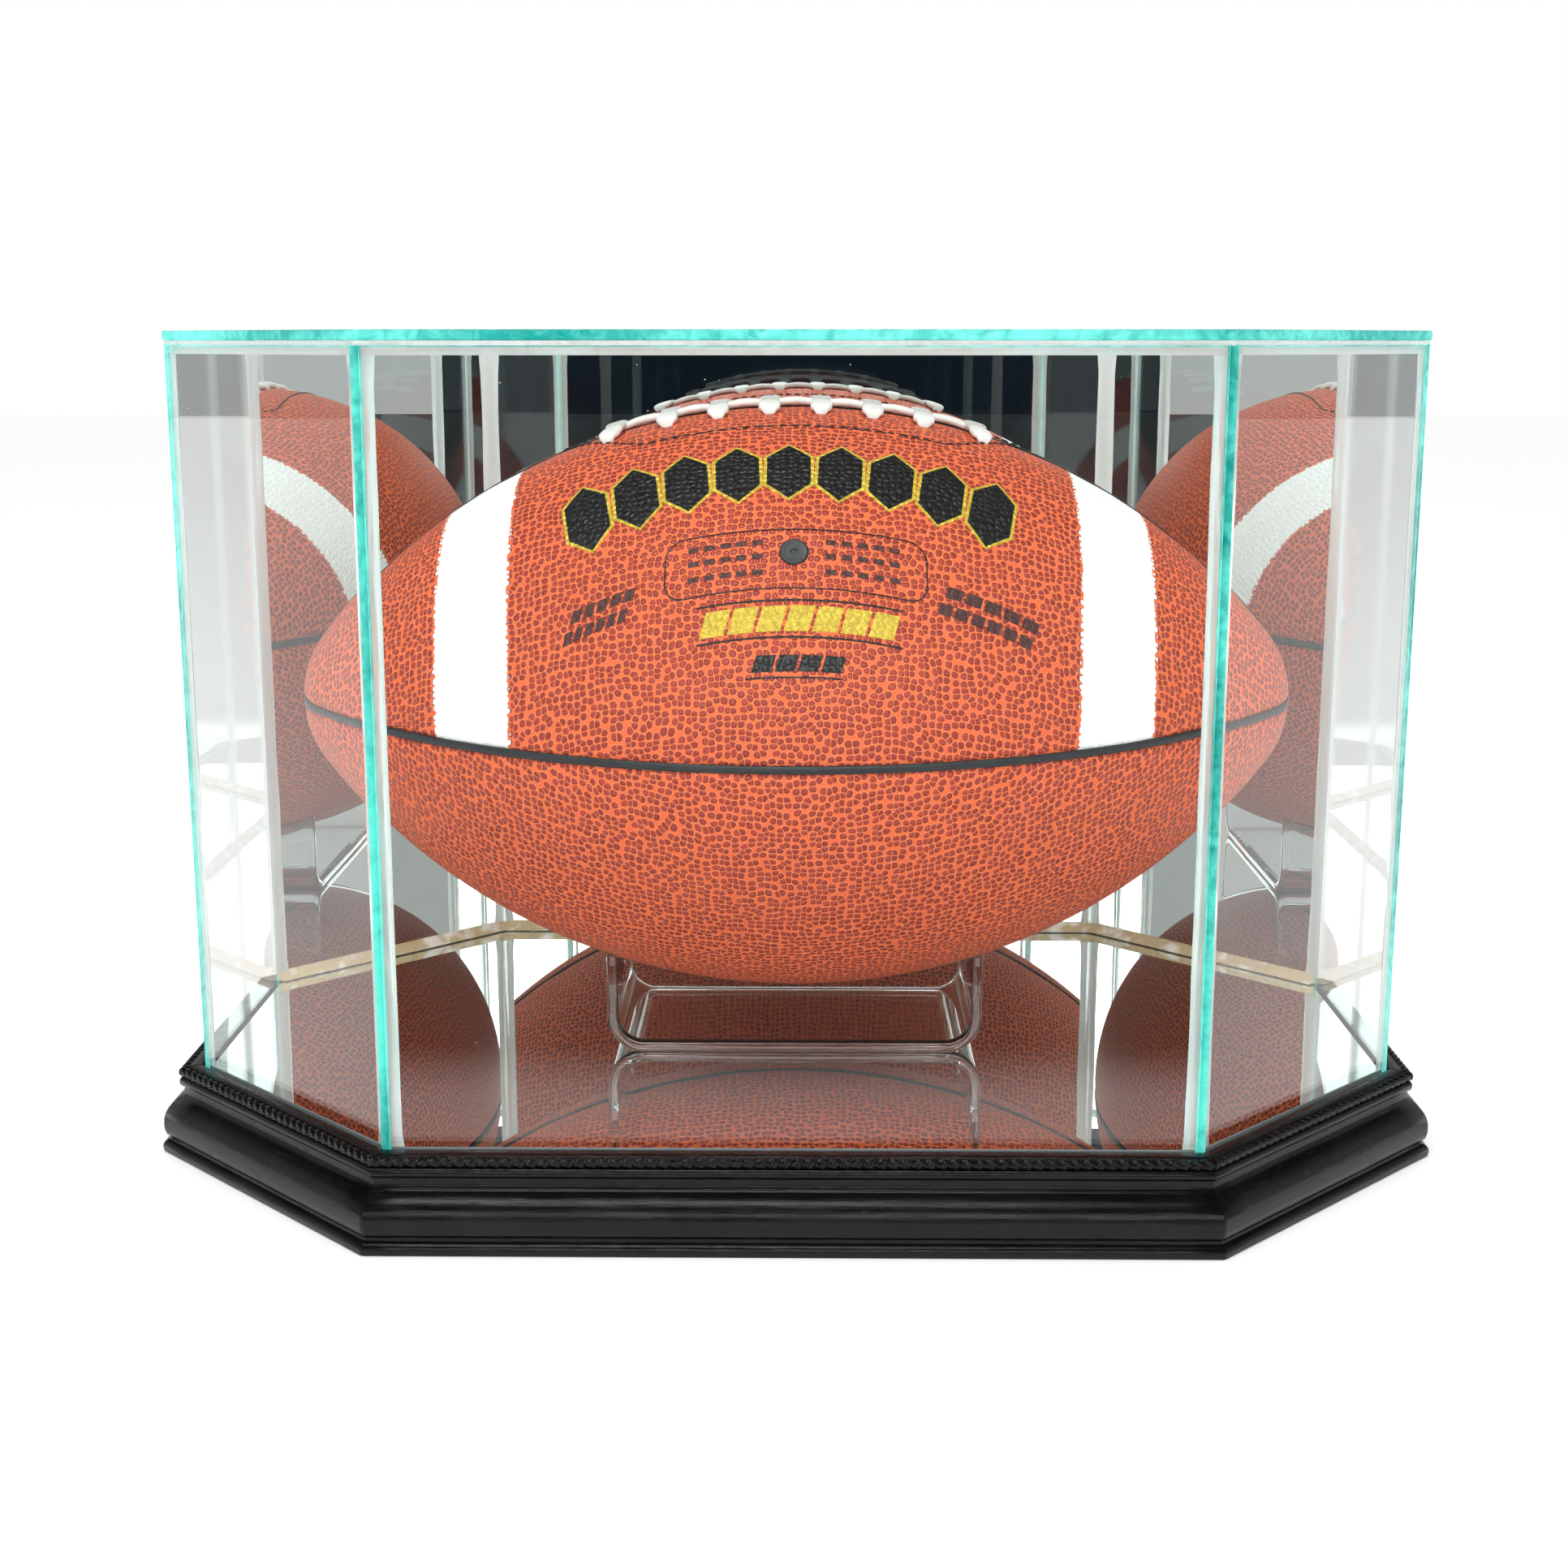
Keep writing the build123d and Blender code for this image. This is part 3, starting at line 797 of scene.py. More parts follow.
def rounded_plan(offset, radius, steps):
    """The case's plan with each corner rounded."""
    corners = plan(offset)
    outline = []
    for number, corner in enumerate(corners):
        before = (corners[number - 1] - corner).normalized()
        after = (corners[(number + 1) % len(corners)] - corner).normalized()
        start = corner + before * radius * EIGHTH
        end = corner + after * radius * EIGHTH
        for step in range(steps + 1):
            share = step / steps
            outline.append(start.lerp(corner, share).lerp(corner.lerp(end, share), share))
    return outline


def build_base(lacquer, silver, paint):
    """Rails, mirror floor, and the hidden board and fasteners."""
    for index in range(len(WALLS)):
        rail_piece(index, lacquer)
    outline = rounded_plan(floor_high.y - HALF_DEPTH, 0.6 * MM, 2)
    plate_piece(
        "floor_mirror", outline, floor_low.z, floor_high.z, "base", [silver, paint, paint],
        "mirror_floor",
    )
    dress_node("deck_board", hardboard())
    dress_node("corner_nails", plain_steel("nail_steel", (0.5, 0.5, 0.52)))
    dress_node("deck_screws", plain_steel("screw_steel", (0.62, 0.6, 0.52)))


# ---- cover ----

def pane_piece(index, face, back, edge):
    """One wall of the cover: a pane with eased, green cut edges."""
    start, end, along, outward = wall_line(index, -WALL)
    gap = 0.1 * MM
    near, far = start + along * gap, end - along * gap
    body = bmesh.new()
    bmesh.ops.create_cube(body, size=1.0)
    middle = (near + far) / 2 + outward * WALL / 2
    middle.z = (WALL_BOTTOM + WALL_TOP) / 2
    length = (far - near).length
    for vertex in body.verts:
        spot = vertex.co.copy()
        vertex.co = middle + along * spot.x * length + outward * spot.y * WALL
        vertex.co.z = middle.z + spot.z * (WALL_TOP - WALL_BOTTOM)
    bmesh.ops.bevel(body, geom=body.edges[:], offset=ARRIS, segments=2, affect="EDGES", profile=0.5)
    body.verts.ensure_lookup_table()
    points = [vertex.co.copy() for vertex in body.verts]
    faces = [tuple(vertex.index for vertex in polygon.verts) for polygon in body.faces]
    body.free()
    name = WALLS[index]
    mirrored = name in MIRROR_WALLS
    kind = "mirror" if mirrored else "glass"
    made = piece(
        f"pane_{name}", points, faces, "cover", [face, edge, back], [f"{kind}_{name}"], sharp=20
    )
    for polygon in made.data.polygons:
        facing = polygon.normal.dot(outward)
        if facing < -0.99:
            polygon.material_index = 0
        elif facing > 0.99:
            polygon.material_index = 2
        else:
            polygon.material_index = 1
    return made


SEAM_LEG = 3.6 * MM
SEAM_RING = 3.5 * MM
SEAM_BULGE = 1.9 * MM


def seam_piece(index, material):
    """The bead of silicone up one corner, uneven as it was gunned, flared where it meets the top."""
    name = WALLS[index]
    corner, _, after, _ = wall_line(index, -WALL - HAIR)
    before = wall_line(index - 1, -WALL)[2]
    inward = (after - before).normalized()
    seam_low, seam_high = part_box(f"seam_{name}")
    low, high = seam_low.z, seam_high.z - HAIR
    rings = round((high - low) / SEAM_RING)
    points = []
    for ring in range(rings + 1):
        height = low + (high - low) * ring / rings
        wander = noise.noise(Vector((index * 7.3, 0, height * 45)))
        flare = smooth_step(high - 7 * MM, high, height) + smooth_step(low + 4 * MM, low, height)
        leg = SEAM_LEG * (0.86 + 0.08 * wander)
        leg = min(SEAM_LEG, leg * (1 + 0.16 * flare))
        bulge = SEAM_BULGE * (0.92 + 0.1 * wander)
        section = [Vector((0, 0, 0)), -before * leg]
        for step in range(1, 8):
            share = step / 8
            chord = (-before * leg).lerp(after * leg, share)
            rise = bulge - leg * math.cos(math.radians(67.5))
            section.append(chord + inward * rise * math.sin(math.pi * share) ** 0.8)
        section.append(after * leg)
        points += [corner + spot + Vector((0, 0, height)) for spot in section]
    count = len(points) // (rings + 1)
    return piece(
        f"bead_{name}", points, tube_faces(rings + 1, count), "cover", [material],
        [f"seam_{name}"], sharp=50,
    )


def seam_sections(section, walls):
    """Rings of points for a bead laid along walls; the section is offsets, heights and looseness."""
    points = []
    steps = 14
    stations = [(index, step / steps) for index in walls for step in range(steps)]
    if len(walls) < len(WALLS):
        stations.append((walls[-1], 1.0))
    for index, share in stations:
        wander = noise.noise(Vector((index * 5.1 + share * 9, 3.7, 1.2)))
        for offset, height, loose in section:
            start, end = wall_line(index, offset * (1 + loose * 0.07 * wander))[:2]
            spot = start.lerp(end, share)
            points.append((spot.x, spot.y, height))
    return points, len(stations)


def top_bead(material):
    """The bed under the top pane, all round, with a fillet inside the walls."""
    outside = -0.35 * MM
    inside = -WALL - HAIR
    low, high = top_seam_low.z, top_seam_high.z - HAIR
    bottom = WALL_TOP + HAIR
    section = [
        (outside, bottom, 0),
        (outside + 0.15 * MM, (bottom + high) / 2, 0),
        (outside, high, 0),
        (-WALL - 2.0 * MM, high, 1),
        (-WALL - 0.9 * MM, WALL_TOP + 0.2 * MM, 1),
        (-WALL - 0.25 * MM, low, 0),
        (inside, low, 0),
        (inside, bottom, 0),
    ]
    points, rings = seam_sections(section, range(len(WALLS)))
    piece("bead_top", points, loop_faces(rings, len(section)), "cover", [material], ["seam_top"])


def foot_bead(material):
    """The yellowed fillet along the foot of the three mirrors."""
    low, high = foot_seam_low.z, foot_seam_high.z
    inside = -WALL - HAIR
    section = [
        (inside, low, 0),
        (inside, high, 0),
        (inside - 0.3 * MM, high, 0),
        (-WALL - 0.9 * MM, (low + high) / 2, 1),
        (-WALL - 2.2 * MM, low + 0.2 * MM, 1),
        (-WALL - 2.3 * MM, low, 1),
    ]
    walls = [WALLS.index(name) for name in MIRROR_WALLS]
    points, rings = seam_sections(section, walls)
    faces = tube_faces(rings, len(section))
    piece("bead_foot", points, faces, "cover", [material], ["seam_foot"])


def build_cover(glass, silver, edge, paint):
    """Walls, top and the sealant that joins them."""
    clear = clear_silicone()
    for index, name in enumerate(WALLS):
        if name in MIRROR_WALLS:
            pane_piece(index, silver, paint, edge)
        else:
            pane_piece(index, glass, glass, edge)
        seam_piece(index, clear)
    outline = rounded_plan(top_high.y - HALF_DEPTH, 2.2 * MM, 4)
    plate_piece(
        "pane_top", outline, top_low.z, top_high.z, "cover", [glass, edge, glass], "glass_top"
    )
    top_bead(clear)
    foot_bead(aged_silicone())


# ---- football ----

ball_low, ball_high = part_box("ball_welt")
BALL_CENTRE = (ball_low + ball_high) / 2
BALL_HALF = (ball_high.x - ball_low.x) / 2
BALL_RADIUS = (ball_high.z - ball_low.z) / 2 + 0.15 * MM
SIDE_RADIUS = 172 * MM
BALL_ROLL = math.radians(4)
DROP = SIDE_RADIUS - BALL_RADIUS
TIP_RADIUS = (SIDE_RADIUS**2 - BALL_HALF**2 - DROP**2) / (SIDE_RADIUS - BALL_HALF) / 2
TIP_TURN = math.atan2(BALL_HALF - TIP_RADIUS, DROP)
SIDE_LENGTH = SIDE_RADIUS * TIP_TURN
HALF_GIRTH = SIDE_LENGTH + TIP_RADIUS * (math.pi / 2 - TIP_TURN)


def crown(travel):
    """Place along the ball, radius, and the slope of its surface, at a distance from its middle."""
    side = 1 if travel >= 0 else -1
    travel = abs(travel)
    if travel <= SIDE_LENGTH:
        slope = travel / SIDE_RADIUS
        return side * SIDE_RADIUS * math.sin(slope), SIDE_RADIUS * math.cos(slope) - DROP, side * slope
    slope = TIP_TURN + (travel - SIDE_LENGTH) / TIP_RADIUS
    x = BALL_HALF - TIP_RADIUS + TIP_RADIUS * math.sin(slope)
    return side * x, TIP_RADIUS * math.cos(slope), side * slope


def on_ball(travel, angle, lift=0.0):
    """A point over the ball's surface; the angle turns from the laces towards the front."""
    x, radius, slope = crown(travel)
    radius += lift * math.cos(slope)
    x += lift * math.sin(slope)
    turn = angle + BALL_ROLL
    return BALL_CENTRE + Vector((x, -radius * math.sin(turn), radius * math.cos(turn)))


def on_panel(travel, down, lift=0.0):
    """The same, by the distance down from the lace seam."""
    radius = max(crown(travel)[1], 1 * MM)
    return on_ball(travel, down / radius, lift)


WELT = 2.2 * MM
PANEL_STEPS = 200
PANEL_ROWS = 72
HIDE = 1.4 * MM


def panel_piece(name, first, material):
    """A quarter of the ball's cover, rolled under along its seams and puckered by the stitching."""
    points, uvs = [], []
    middle = first + math.pi / 4
    reach = HALF_GIRTH - 2.3 * MM
    rows = [(0.5 - 0.5 * math.cos(math.pi * row / PANEL_ROWS)) for row in range(PANEL_ROWS + 1)]
    layers = (0.0, -HIDE)
    for layer in layers:
        for step in range(PANEL_STEPS + 1):
            travel = reach * math.sin(math.pi * (step / PANEL_STEPS - 0.5)) * 0.35
            travel += reach * 0.65 * (2 * step / PANEL_STEPS - 1)
            radius = crown(travel)[1]
            margin = math.asin(min(0.99, (WELT / 2 - 0.1 * MM) / radius))
            for row in rows:
                angle = first + margin + (math.pi / 2 - 2 * margin) * row
                edge = min(row, 1 - row) * (math.pi / 2 - 2 * margin) * radius
                roll = -0.55 * MM * math.exp(-((edge / (0.7 * MM)) ** 2))
                sink = -0.3 * MM * math.exp(-edge / (4 * MM))
                ripple = noise.noise(Vector((travel * 95, first * 3 + (row > 0.5), 0.3)))
                pucker = 0.3 * MM * ripple * math.exp(-edge / (5 * MM))
                points.append(on_ball(travel, angle, roll + sink + pucker + layer))
                uvs.append((travel + first * 0.7, (angle - middle) * radius))
    count = PANEL_ROWS + 1
    size = (PANEL_STEPS + 1) * count
    faces = []
    for step in range(PANEL_STEPS):
        for row in range(PANEL_ROWS):
            corner = step * count + row
            faces.append((corner, corner + 1, corner + count + 1, corner + count))
            under = corner + size
            faces.append((under, under + count, under + count + 1, under + 1))
    rim = [step * count for step in range(PANEL_STEPS + 1)]
    rim += [PANEL_STEPS * count + row for row in range(1, count)]
    rim += [step * count + PANEL_ROWS for step in reversed(range(PANEL_STEPS))]
    rim += [row for row in reversed(range(1, PANEL_ROWS))]
    for number, corner in enumerate(rim):
        after = rim[(number + 1) % len(rim)]
        faces.append((corner, after, after + size, corner + size))
    replaced = [f"ball_panel_{name}"]
    return piece(f"leather_{name}", points, faces, "football", [material], replaced, uvs, 60)


def swept_strip(path, width, thickness, sides=10, power=0.6):
    """Points and faces of a rounded strip along (travel, angle, lift, share of size) stations."""
    points, uvs = [], []
    for number, (travel, angle, lift, share) in enumerate(path):
        here = on_ball(travel, angle, lift)
        up = (on_ball(travel, angle, lift + MM) - here).normalized()
        back = path[max(0, number - 1)]
        ahead = path[min(len(path) - 1, number + 1)]
        along = (on_ball(*ahead[:3]) - on_ball(*back[:3])).normalized()
        across = along.cross(up).normalized()
        up = across.cross(along).normalized()
        for side in range(sides):
            turn = math.tau * side / sides
            cosine, sine = math.cos(turn), math.sin(turn)
            wide = math.copysign(abs(cosine) ** power, cosine) * width / 2 * share
            tall = math.copysign(abs(sine) ** power, sine) * thickness / 2 * share
            points.append(here + across * wide + up * tall)
            uvs.append((number * MM, wide))
    return points, tube_faces(len(path), sides), uvs


def join_strips(strips):
    """Several strips as one list of points, faces and coordinates."""
    points, faces, uvs = [], [], []
    for strip_points, strip_faces, strip_uvs in strips:
        first = len(points)
        points += strip_points
        faces += [tuple(first + number for number in face) for face in strip_faces]
        uvs += strip_uvs
    return points, faces, uvs


def welt_piece(material):
    """The dark welt in the four seams, tip to tip."""
    strips = []
    steps = 150
    reach = HALF_GIRTH - 0.2 * MM
    for quarter in range(4):
        path = []
        for step in range(steps + 1):
            travel = reach * math.sin(math.pi * (step / steps - 0.5))
            ripple = noise.noise(Vector((travel * 80, quarter * 4.0, 2.0)))
            ends = min(1.0, (HALF_GIRTH - abs(travel)) / (5 * MM) + 0.35)
            path.append((travel, quarter * math.pi / 2, -0.75 * MM + 0.12 * MM * ripple, ends))
        strips.append(swept_strip(path, WELT, 1.5 * MM, 10, 0.5))
    points, faces, uvs = join_strips(strips)
    return piece("seam_welt", points, faces, "football", [material], ["ball_welt"], uvs, 60)


LACE_COUNT = 8
LACE_PITCH = 14.1 * MM
LACE_SPAN = 13.2 * MM
LACE_WIDTH = 6.0 * MM
LACE_THICK = 2.2 * MM
LACE_STEPS = 72
END_LACE_SPLAY = 0.22
ROUND_FROM = 0.74


def cross_lace(number):
    """One short lace over the seam, its ends narrowed and tucked into their holes."""
    place = (number - (LACE_COUNT - 1) / 2) * LACE_PITCH
    splay = 0.0
    if number in (0, LACE_COUNT - 1):
        splay = math.copysign(END_LACE_SPLAY, place)
    path = []
    for step in range(LACE_STEPS + 1):
        across = LACE_SPAN * (2 * step / LACE_STEPS - 1)
        reach = abs(across) / LACE_SPAN
        travel = place + splay * abs(across)
        lift = 1.5 * MM - 0.5 * MM * reach**3
        lift -= 1.5 * MM * smooth_step(0.9, 1.0, reach)
        share = 0.84 + 0.16 * smooth_step(0.3, 0.7, reach)
        if reach > ROUND_FROM:
            share *= max(0.15, math.sqrt(1 - ((reach - ROUND_FROM) / (1 - ROUND_FROM)) ** 2))
        radius = crown(travel)[1]
        path.append((travel, across / radius, lift, share))
    points, faces, uvs = swept_strip(path, LACE_WIDTH, LACE_THICK, 16, 0.55)
    ring = len(points) // len(path)
    skin = []
    for index, (_, wide) in enumerate(uvs):
        step = index // ring
        skin.append((LACE_SPAN * (2 * step / LACE_STEPS - 1), wide))
    return points, faces, skin


def lace_pieces(knurled, smooth):
    """The eight cross laces and the long lace under them."""
    points, faces, uvs = join_strips([cross_lace(number) for number in range(LACE_COUNT)])
    piece(
        "laces_across", points, faces, "football", [knurled], ["ball_laces_cross"], uvs, 60
    )
    strips = []
    length = 52.5 * MM
    steps = 120
    for side in (-1, 1):
        path = []
        for step in range(steps + 1):
            travel = length * (2 * step / steps - 1)
            radius = crown(travel)[1]
            between = 0.5 - 0.5 * math.cos(math.tau * (travel / LACE_PITCH))
            lift = 0.75 * MM + 0.55 * MM * (1 - between)
            lift -= 1.6 * MM * smooth_step(length - 3 * MM, length, abs(travel))
            path.append((travel, side * 1.25 * MM / radius, lift, 1.0))
        strips.append(swept_strip(path, 2.1 * MM, 1.9 * MM, 12, 1.0))
    points, faces, uvs = join_strips(strips)
    piece("lace_along", points, faces, "football", [smooth], ["ball_lace_long"], uvs, 60)


VALVE_DOWN = math.radians(50.8)


def valve_piece(material):
    """The inflation valve: a dished rubber button with a needle hole."""
    rings = [(0.0, 0.05), (0.6, 0.06), (0.7, 0.3), (1.0, 0.42), (1.5, 0.34), (2.3, 0.3), (2.8, 0.42)]
    rings += [(3.2, 0.45), (3.55, 0.36), (3.75, 0.1), (3.75, -1.6), (0.0, -1.6)]
    sides = 40
    here = on_ball(0, VALVE_DOWN)
    up = (on_ball(0, VALVE_DOWN, MM) - here).normalized()
    east = Vector((1, 0, 0))
    north = up.cross(east)
    points = []
    for radius, height in rings:
        for side in range(sides):
            turn = math.tau * side / sides
            spoke = east * math.cos(turn) + north * math.sin(turn)
            points.append(here + spoke * max(radius, 0.02) * MM + up * height * MM)
    faces = tube_faces(len(rings), sides)
    return piece("valve", points, faces, "football", [material], ["ball_valve"], sharp=50)


STITCH_LENGTH = 2.9 * MM
STITCH_GAP = 0.35 * MM
OUTLINE_FLAT = 38 * MM
OUTLINE_END = 67 * MM
OUTLINE_HALF = 23.5 * MM


def outline_width(travel):
    """Half the width of the stitched leaf shape round the laces."""
    share = smooth_step(OUTLINE_FLAT, OUTLINE_END, abs(travel))
    return OUTLINE_HALF * (1 - share) ** 0.85


def stitch_piece(material):
    """Black stitching round the laces, each stitch a short round bar."""
    path = []
    steps = 400
    for side in (1, -1):
        for step in range(steps):
            travel = -side * OUTLINE_END * math.cos(math.pi * step / steps)
            path.append((travel, side * outline_width(travel)))
    strips = []
    travelled = 0.0
    current = []
    for number in range(len(path)):
        here = path[number]
        after = path[(number + 1) % len(path)]
        cycle = travelled % (STITCH_LENGTH + STITCH_GAP)
        travelled += math.dist(here, after)
        if cycle < STITCH_LENGTH:
            current.append((here, cycle / STITCH_LENGTH))
        elif current:
            strips.append(stitch(current))
            current = []
    points, faces, uvs = join_strips([strip for strip in strips if strip])
    return piece("stitching", points, faces, "football", [material], uvs=uvs, sharp=60)


def stitch(stations):
    """One stitch, sunk at both ends."""
    if len(stations) < 3:
        return None
    path = []
    for (travel, down), share in stations[:: max(1, len(stations) // 6)]:
        radius = crown(travel)[1]
        arch = math.sin(math.pi * min(1.0, max(0.0, share)))
        path.append((travel, down / radius, 0.3 * MM * arch - 0.15 * MM, 0.6 + 0.4 * arch))
    return swept_strip(path, 0.75 * MM, 0.6 * MM, 6, 1.0) if len(path) > 2 else None


# ---- marks printed on the ball: plain ornament in place of any lettering ----

DECAL_CELL = 2.5 * MM


def decal_piece(name, shapes, lift, material):
    """Flat shapes, given as outlines of (travel, down), laid onto the leather as thin film."""
    film = bmesh.new()
    for outline in shapes:
        corners = [film.verts.new((x, y, 0)) for x, y in outline]
        film.faces.new(corners)
    for axis, low, high in ((0, -75 * MM, 75 * MM), (1, 15 * MM, 115 * MM)):
        spot = low
        while spot < high:
            at = [0, 0, 0]
            at[axis] = spot
            normal = [0, 0, 0]
            normal[axis] = 1
            everything = film.verts[:] + film.edges[:] + film.faces[:]
            bmesh.ops.bisect_plane(film, geom=everything, plane_co=at, plane_no=normal, dist=1e-7)
            spot += DECAL_CELL
    under = bmesh.ops.extrude_face_region(film, geom=film.faces[:], use_keep_orig=True)["geom"]
    sunk = {part for part in under if isinstance(part, bmesh.types.BMVert)}
    film.verts.ensure_lookup_table()
    points = []
    uvs = []
    for vertex in film.verts:
        travel, down = vertex.co.x, vertex.co.y
        radius = crown(travel)[1]
        depth = -0.25 * MM if vertex in sunk else 0.0
        points.append(on_panel(travel, down, lift + depth))
        uvs.append((travel, down - math.pi / 4 * radius))
    film.verts.index_update()
    faces = [tuple(vertex.index for vertex in face.verts) for face in film.faces]
    film.free()
    return piece(name, points, faces, "football", [material], uvs=uvs, sharp=60)


def shape_at(centre, slant, corners):
    """An outline moved to a place and leaned over, in millimetres."""
    x0, y0 = centre
    return [((x0 + x - slant * y) * MM, (y0 + y) * MM) for x, y in corners]


# The badges, in millimetres: how many, how far apart, how far down, and each one's half width and height.
BADGE_COUNT = 9
BADGE_PITCH = 13.4
BADGE_SHIFT = -1.5
BADGE_DOWN = 46.0
BADGE_ARCH = 0.2
BADGE_WIDE = 5.7
BADGE_TALL = 10.6
BADGE_GROWTH = 0.1
BADGE_FAN = 0.045


def badge_shapes(grow):
    """Tall six-sided badges fanned along an arch, each grown outward for its rim."""
    shapes = []
    for number in range(BADGE_COUNT):
        spread = number - (BADGE_COUNT - 1) / 2
        x = spread * BADGE_PITCH + BADGE_SHIFT
        y = BADGE_DOWN + BADGE_ARCH * spread * spread
        wide = BADGE_WIDE + grow
        tall = BADGE_TALL + BADGE_GROWTH * spread * spread + grow
        shoulder = tall * 0.5
        right = [(wide, -shoulder), (wide, shoulder)]
        left = [(-wide, shoulder)]
        corners = [(-wide, -shoulder), (0, -tall), *right, (0, tall), *left]
        shapes.append(shape_at((x, y), BADGE_FAN * spread, corners))
    return shapes


def bar_shapes(left, right, down, tall, count, gap, slant):
    """Slanted bars side by side."""
    shapes = []
    wide = (right - left - gap * (count - 1)) / count
    for number in range(count):
        x = left + number * (wide + gap) + wide / 2
        corners = [(-wide / 2, -tall / 2), (wide / 2, -tall / 2), (wide / 2, tall / 2), (-wide / 2, tall / 2)]
        shapes.append(shape_at((x, down), slant, corners))
    return shapes


def line_shapes(points, width, closed=False):
    """A thin line of even width through points, as joined quads."""
    shapes = []
    count = len(points)
    last = count if closed else count - 1
    for number in range(last):
        first = Vector(points[number])
        second = Vector(points[(number + 1) % count])
        along = (second - first).normalized()
        across = Vector((-along.y, along.x)) * width / 2
        reach = along * width * 0.2
        start, end = first - reach, second + reach
        quad = [start - across, end - across, end + across, start + across]
        shapes.append([(spot.x * MM, spot.y * MM) for spot in quad])
    return shapes


def frame_points(left, right, top, bottom, radius):
    """A rounded rectangle's outline."""
    points = []
    centres = [
        (right - radius, bottom - radius, 0),
        (left + radius, bottom - radius, 90),
        (left + radius, top + radius, 180),
        (right - radius, top + radius, 270),
    ]
    for x, y, first in centres:
        for step in range(7):
            turn = math.radians(first + 15 * step)
            points.append((x + radius * math.cos(turn), y + radius * math.sin(turn)))
    return points


def straight(left, right, down):
    """A run of points across the panel."""
    return [(left + (right - left) * step / 12, down) for step in range(13)]


def print_pieces(black, gold, faint):
    """The ornament on the front upper panel."""
    decal_piece("badge_rim", badge_shapes(0.9), 0.1 * MM, gold)
    decal_piece("badge_fill", badge_shapes(0.0), 0.2 * MM, black)
    decal_piece("foil_bars", bar_shapes(-23, 26, 91.6, 6.6, 7, 0.9, 0.28), 0.12 * MM, gold)
    shapes = line_shapes(straight(-24.5, 27.5, 86.8), 0.5)
    shapes += line_shapes(straight(-24.5, 27.5, 96.4), 0.5)
    shapes += line_shapes(frame_points(-33, 34, 66.8, 83.6, 5.0), 0.35, True)
    decal_piece("fine_lines", shapes, 0.1 * MM, black)
    shapes = bar_shapes(-10, 12.5, 103, 4.2, 4, 0.8, 0.3)
    shapes += line_shapes(straight(-12, 12, 106.6), 0.45)
    decal_piece("small_bars", shapes, 0.1 * MM, black)
    shapes = []
    for left, right in ((-60, -38), (37, 67)):
        shapes += bar_shapes(left + 2, right - 3, 78.4, 3.2, 5, 0.9, 0.28)
        shapes += bar_shapes(left, right - 5, 83.4, 3.2, 6, 0.9, 0.28)
    for left, right in ((-27, -8), (8, 27)):
        for down in (70.5, 74.5, 79.0):
            shapes += bar_shapes(left, right, down, 1.5, 5, 1.4, 0.0)
    decal_piece("faint_marks", shapes, 0.08 * MM, faint)


def build_football(rubber):
    """Leather, seams, laces, valve and printed ornament."""
    plain = leather("plain_leather", False)
    striped = leather("striped_leather", True)
    quarter = math.pi / 2
    panel_piece("front_top", 0, striped)
    panel_piece("front_bottom", quarter, plain)
    panel_piece("back_bottom", 2 * quarter, plain)
    panel_piece("back_top", 3 * quarter, striped)
    welt_piece(rubber)
    lace_pieces(lace_rubber("knurled_lace", True), lace_rubber("smooth_lace", False))
    valve_piece(rubber)
    stitch_piece(thread())
    black = print_ink("black_print", (0.012, 0.012, 0.012), 0.0, 0.3)
    gold = print_ink("gold_foil", (0.8, 0.58, 0.06), 0.25, 0.25)
    faint = print_ink("faint_print", (0.09, 0.025, 0.02), 0.0, 0.45)
    print_pieces(black, gold, faint)
    dress_node("ball_bladder", rubber)


# ---- stand ----

stand_low, stand_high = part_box("stand")
SHEET = 3.0 * MM
BEND_RADIUS = 9.0 * MM
BEND_STEPS = 10
CRADLE_HEIGHT = 23.9 * MM
CRADLE_RADIUS = BALL_CENTRE.z - (stand_low.z + CRADLE_HEIGHT)


def stand_height(y):
    """How high the hollowed wall stands at a place across its depth."""
    drop = math.sqrt(max(0.0, CRADLE_RADIUS**2 - y * y))
    return BALL_CENTRE.z - drop


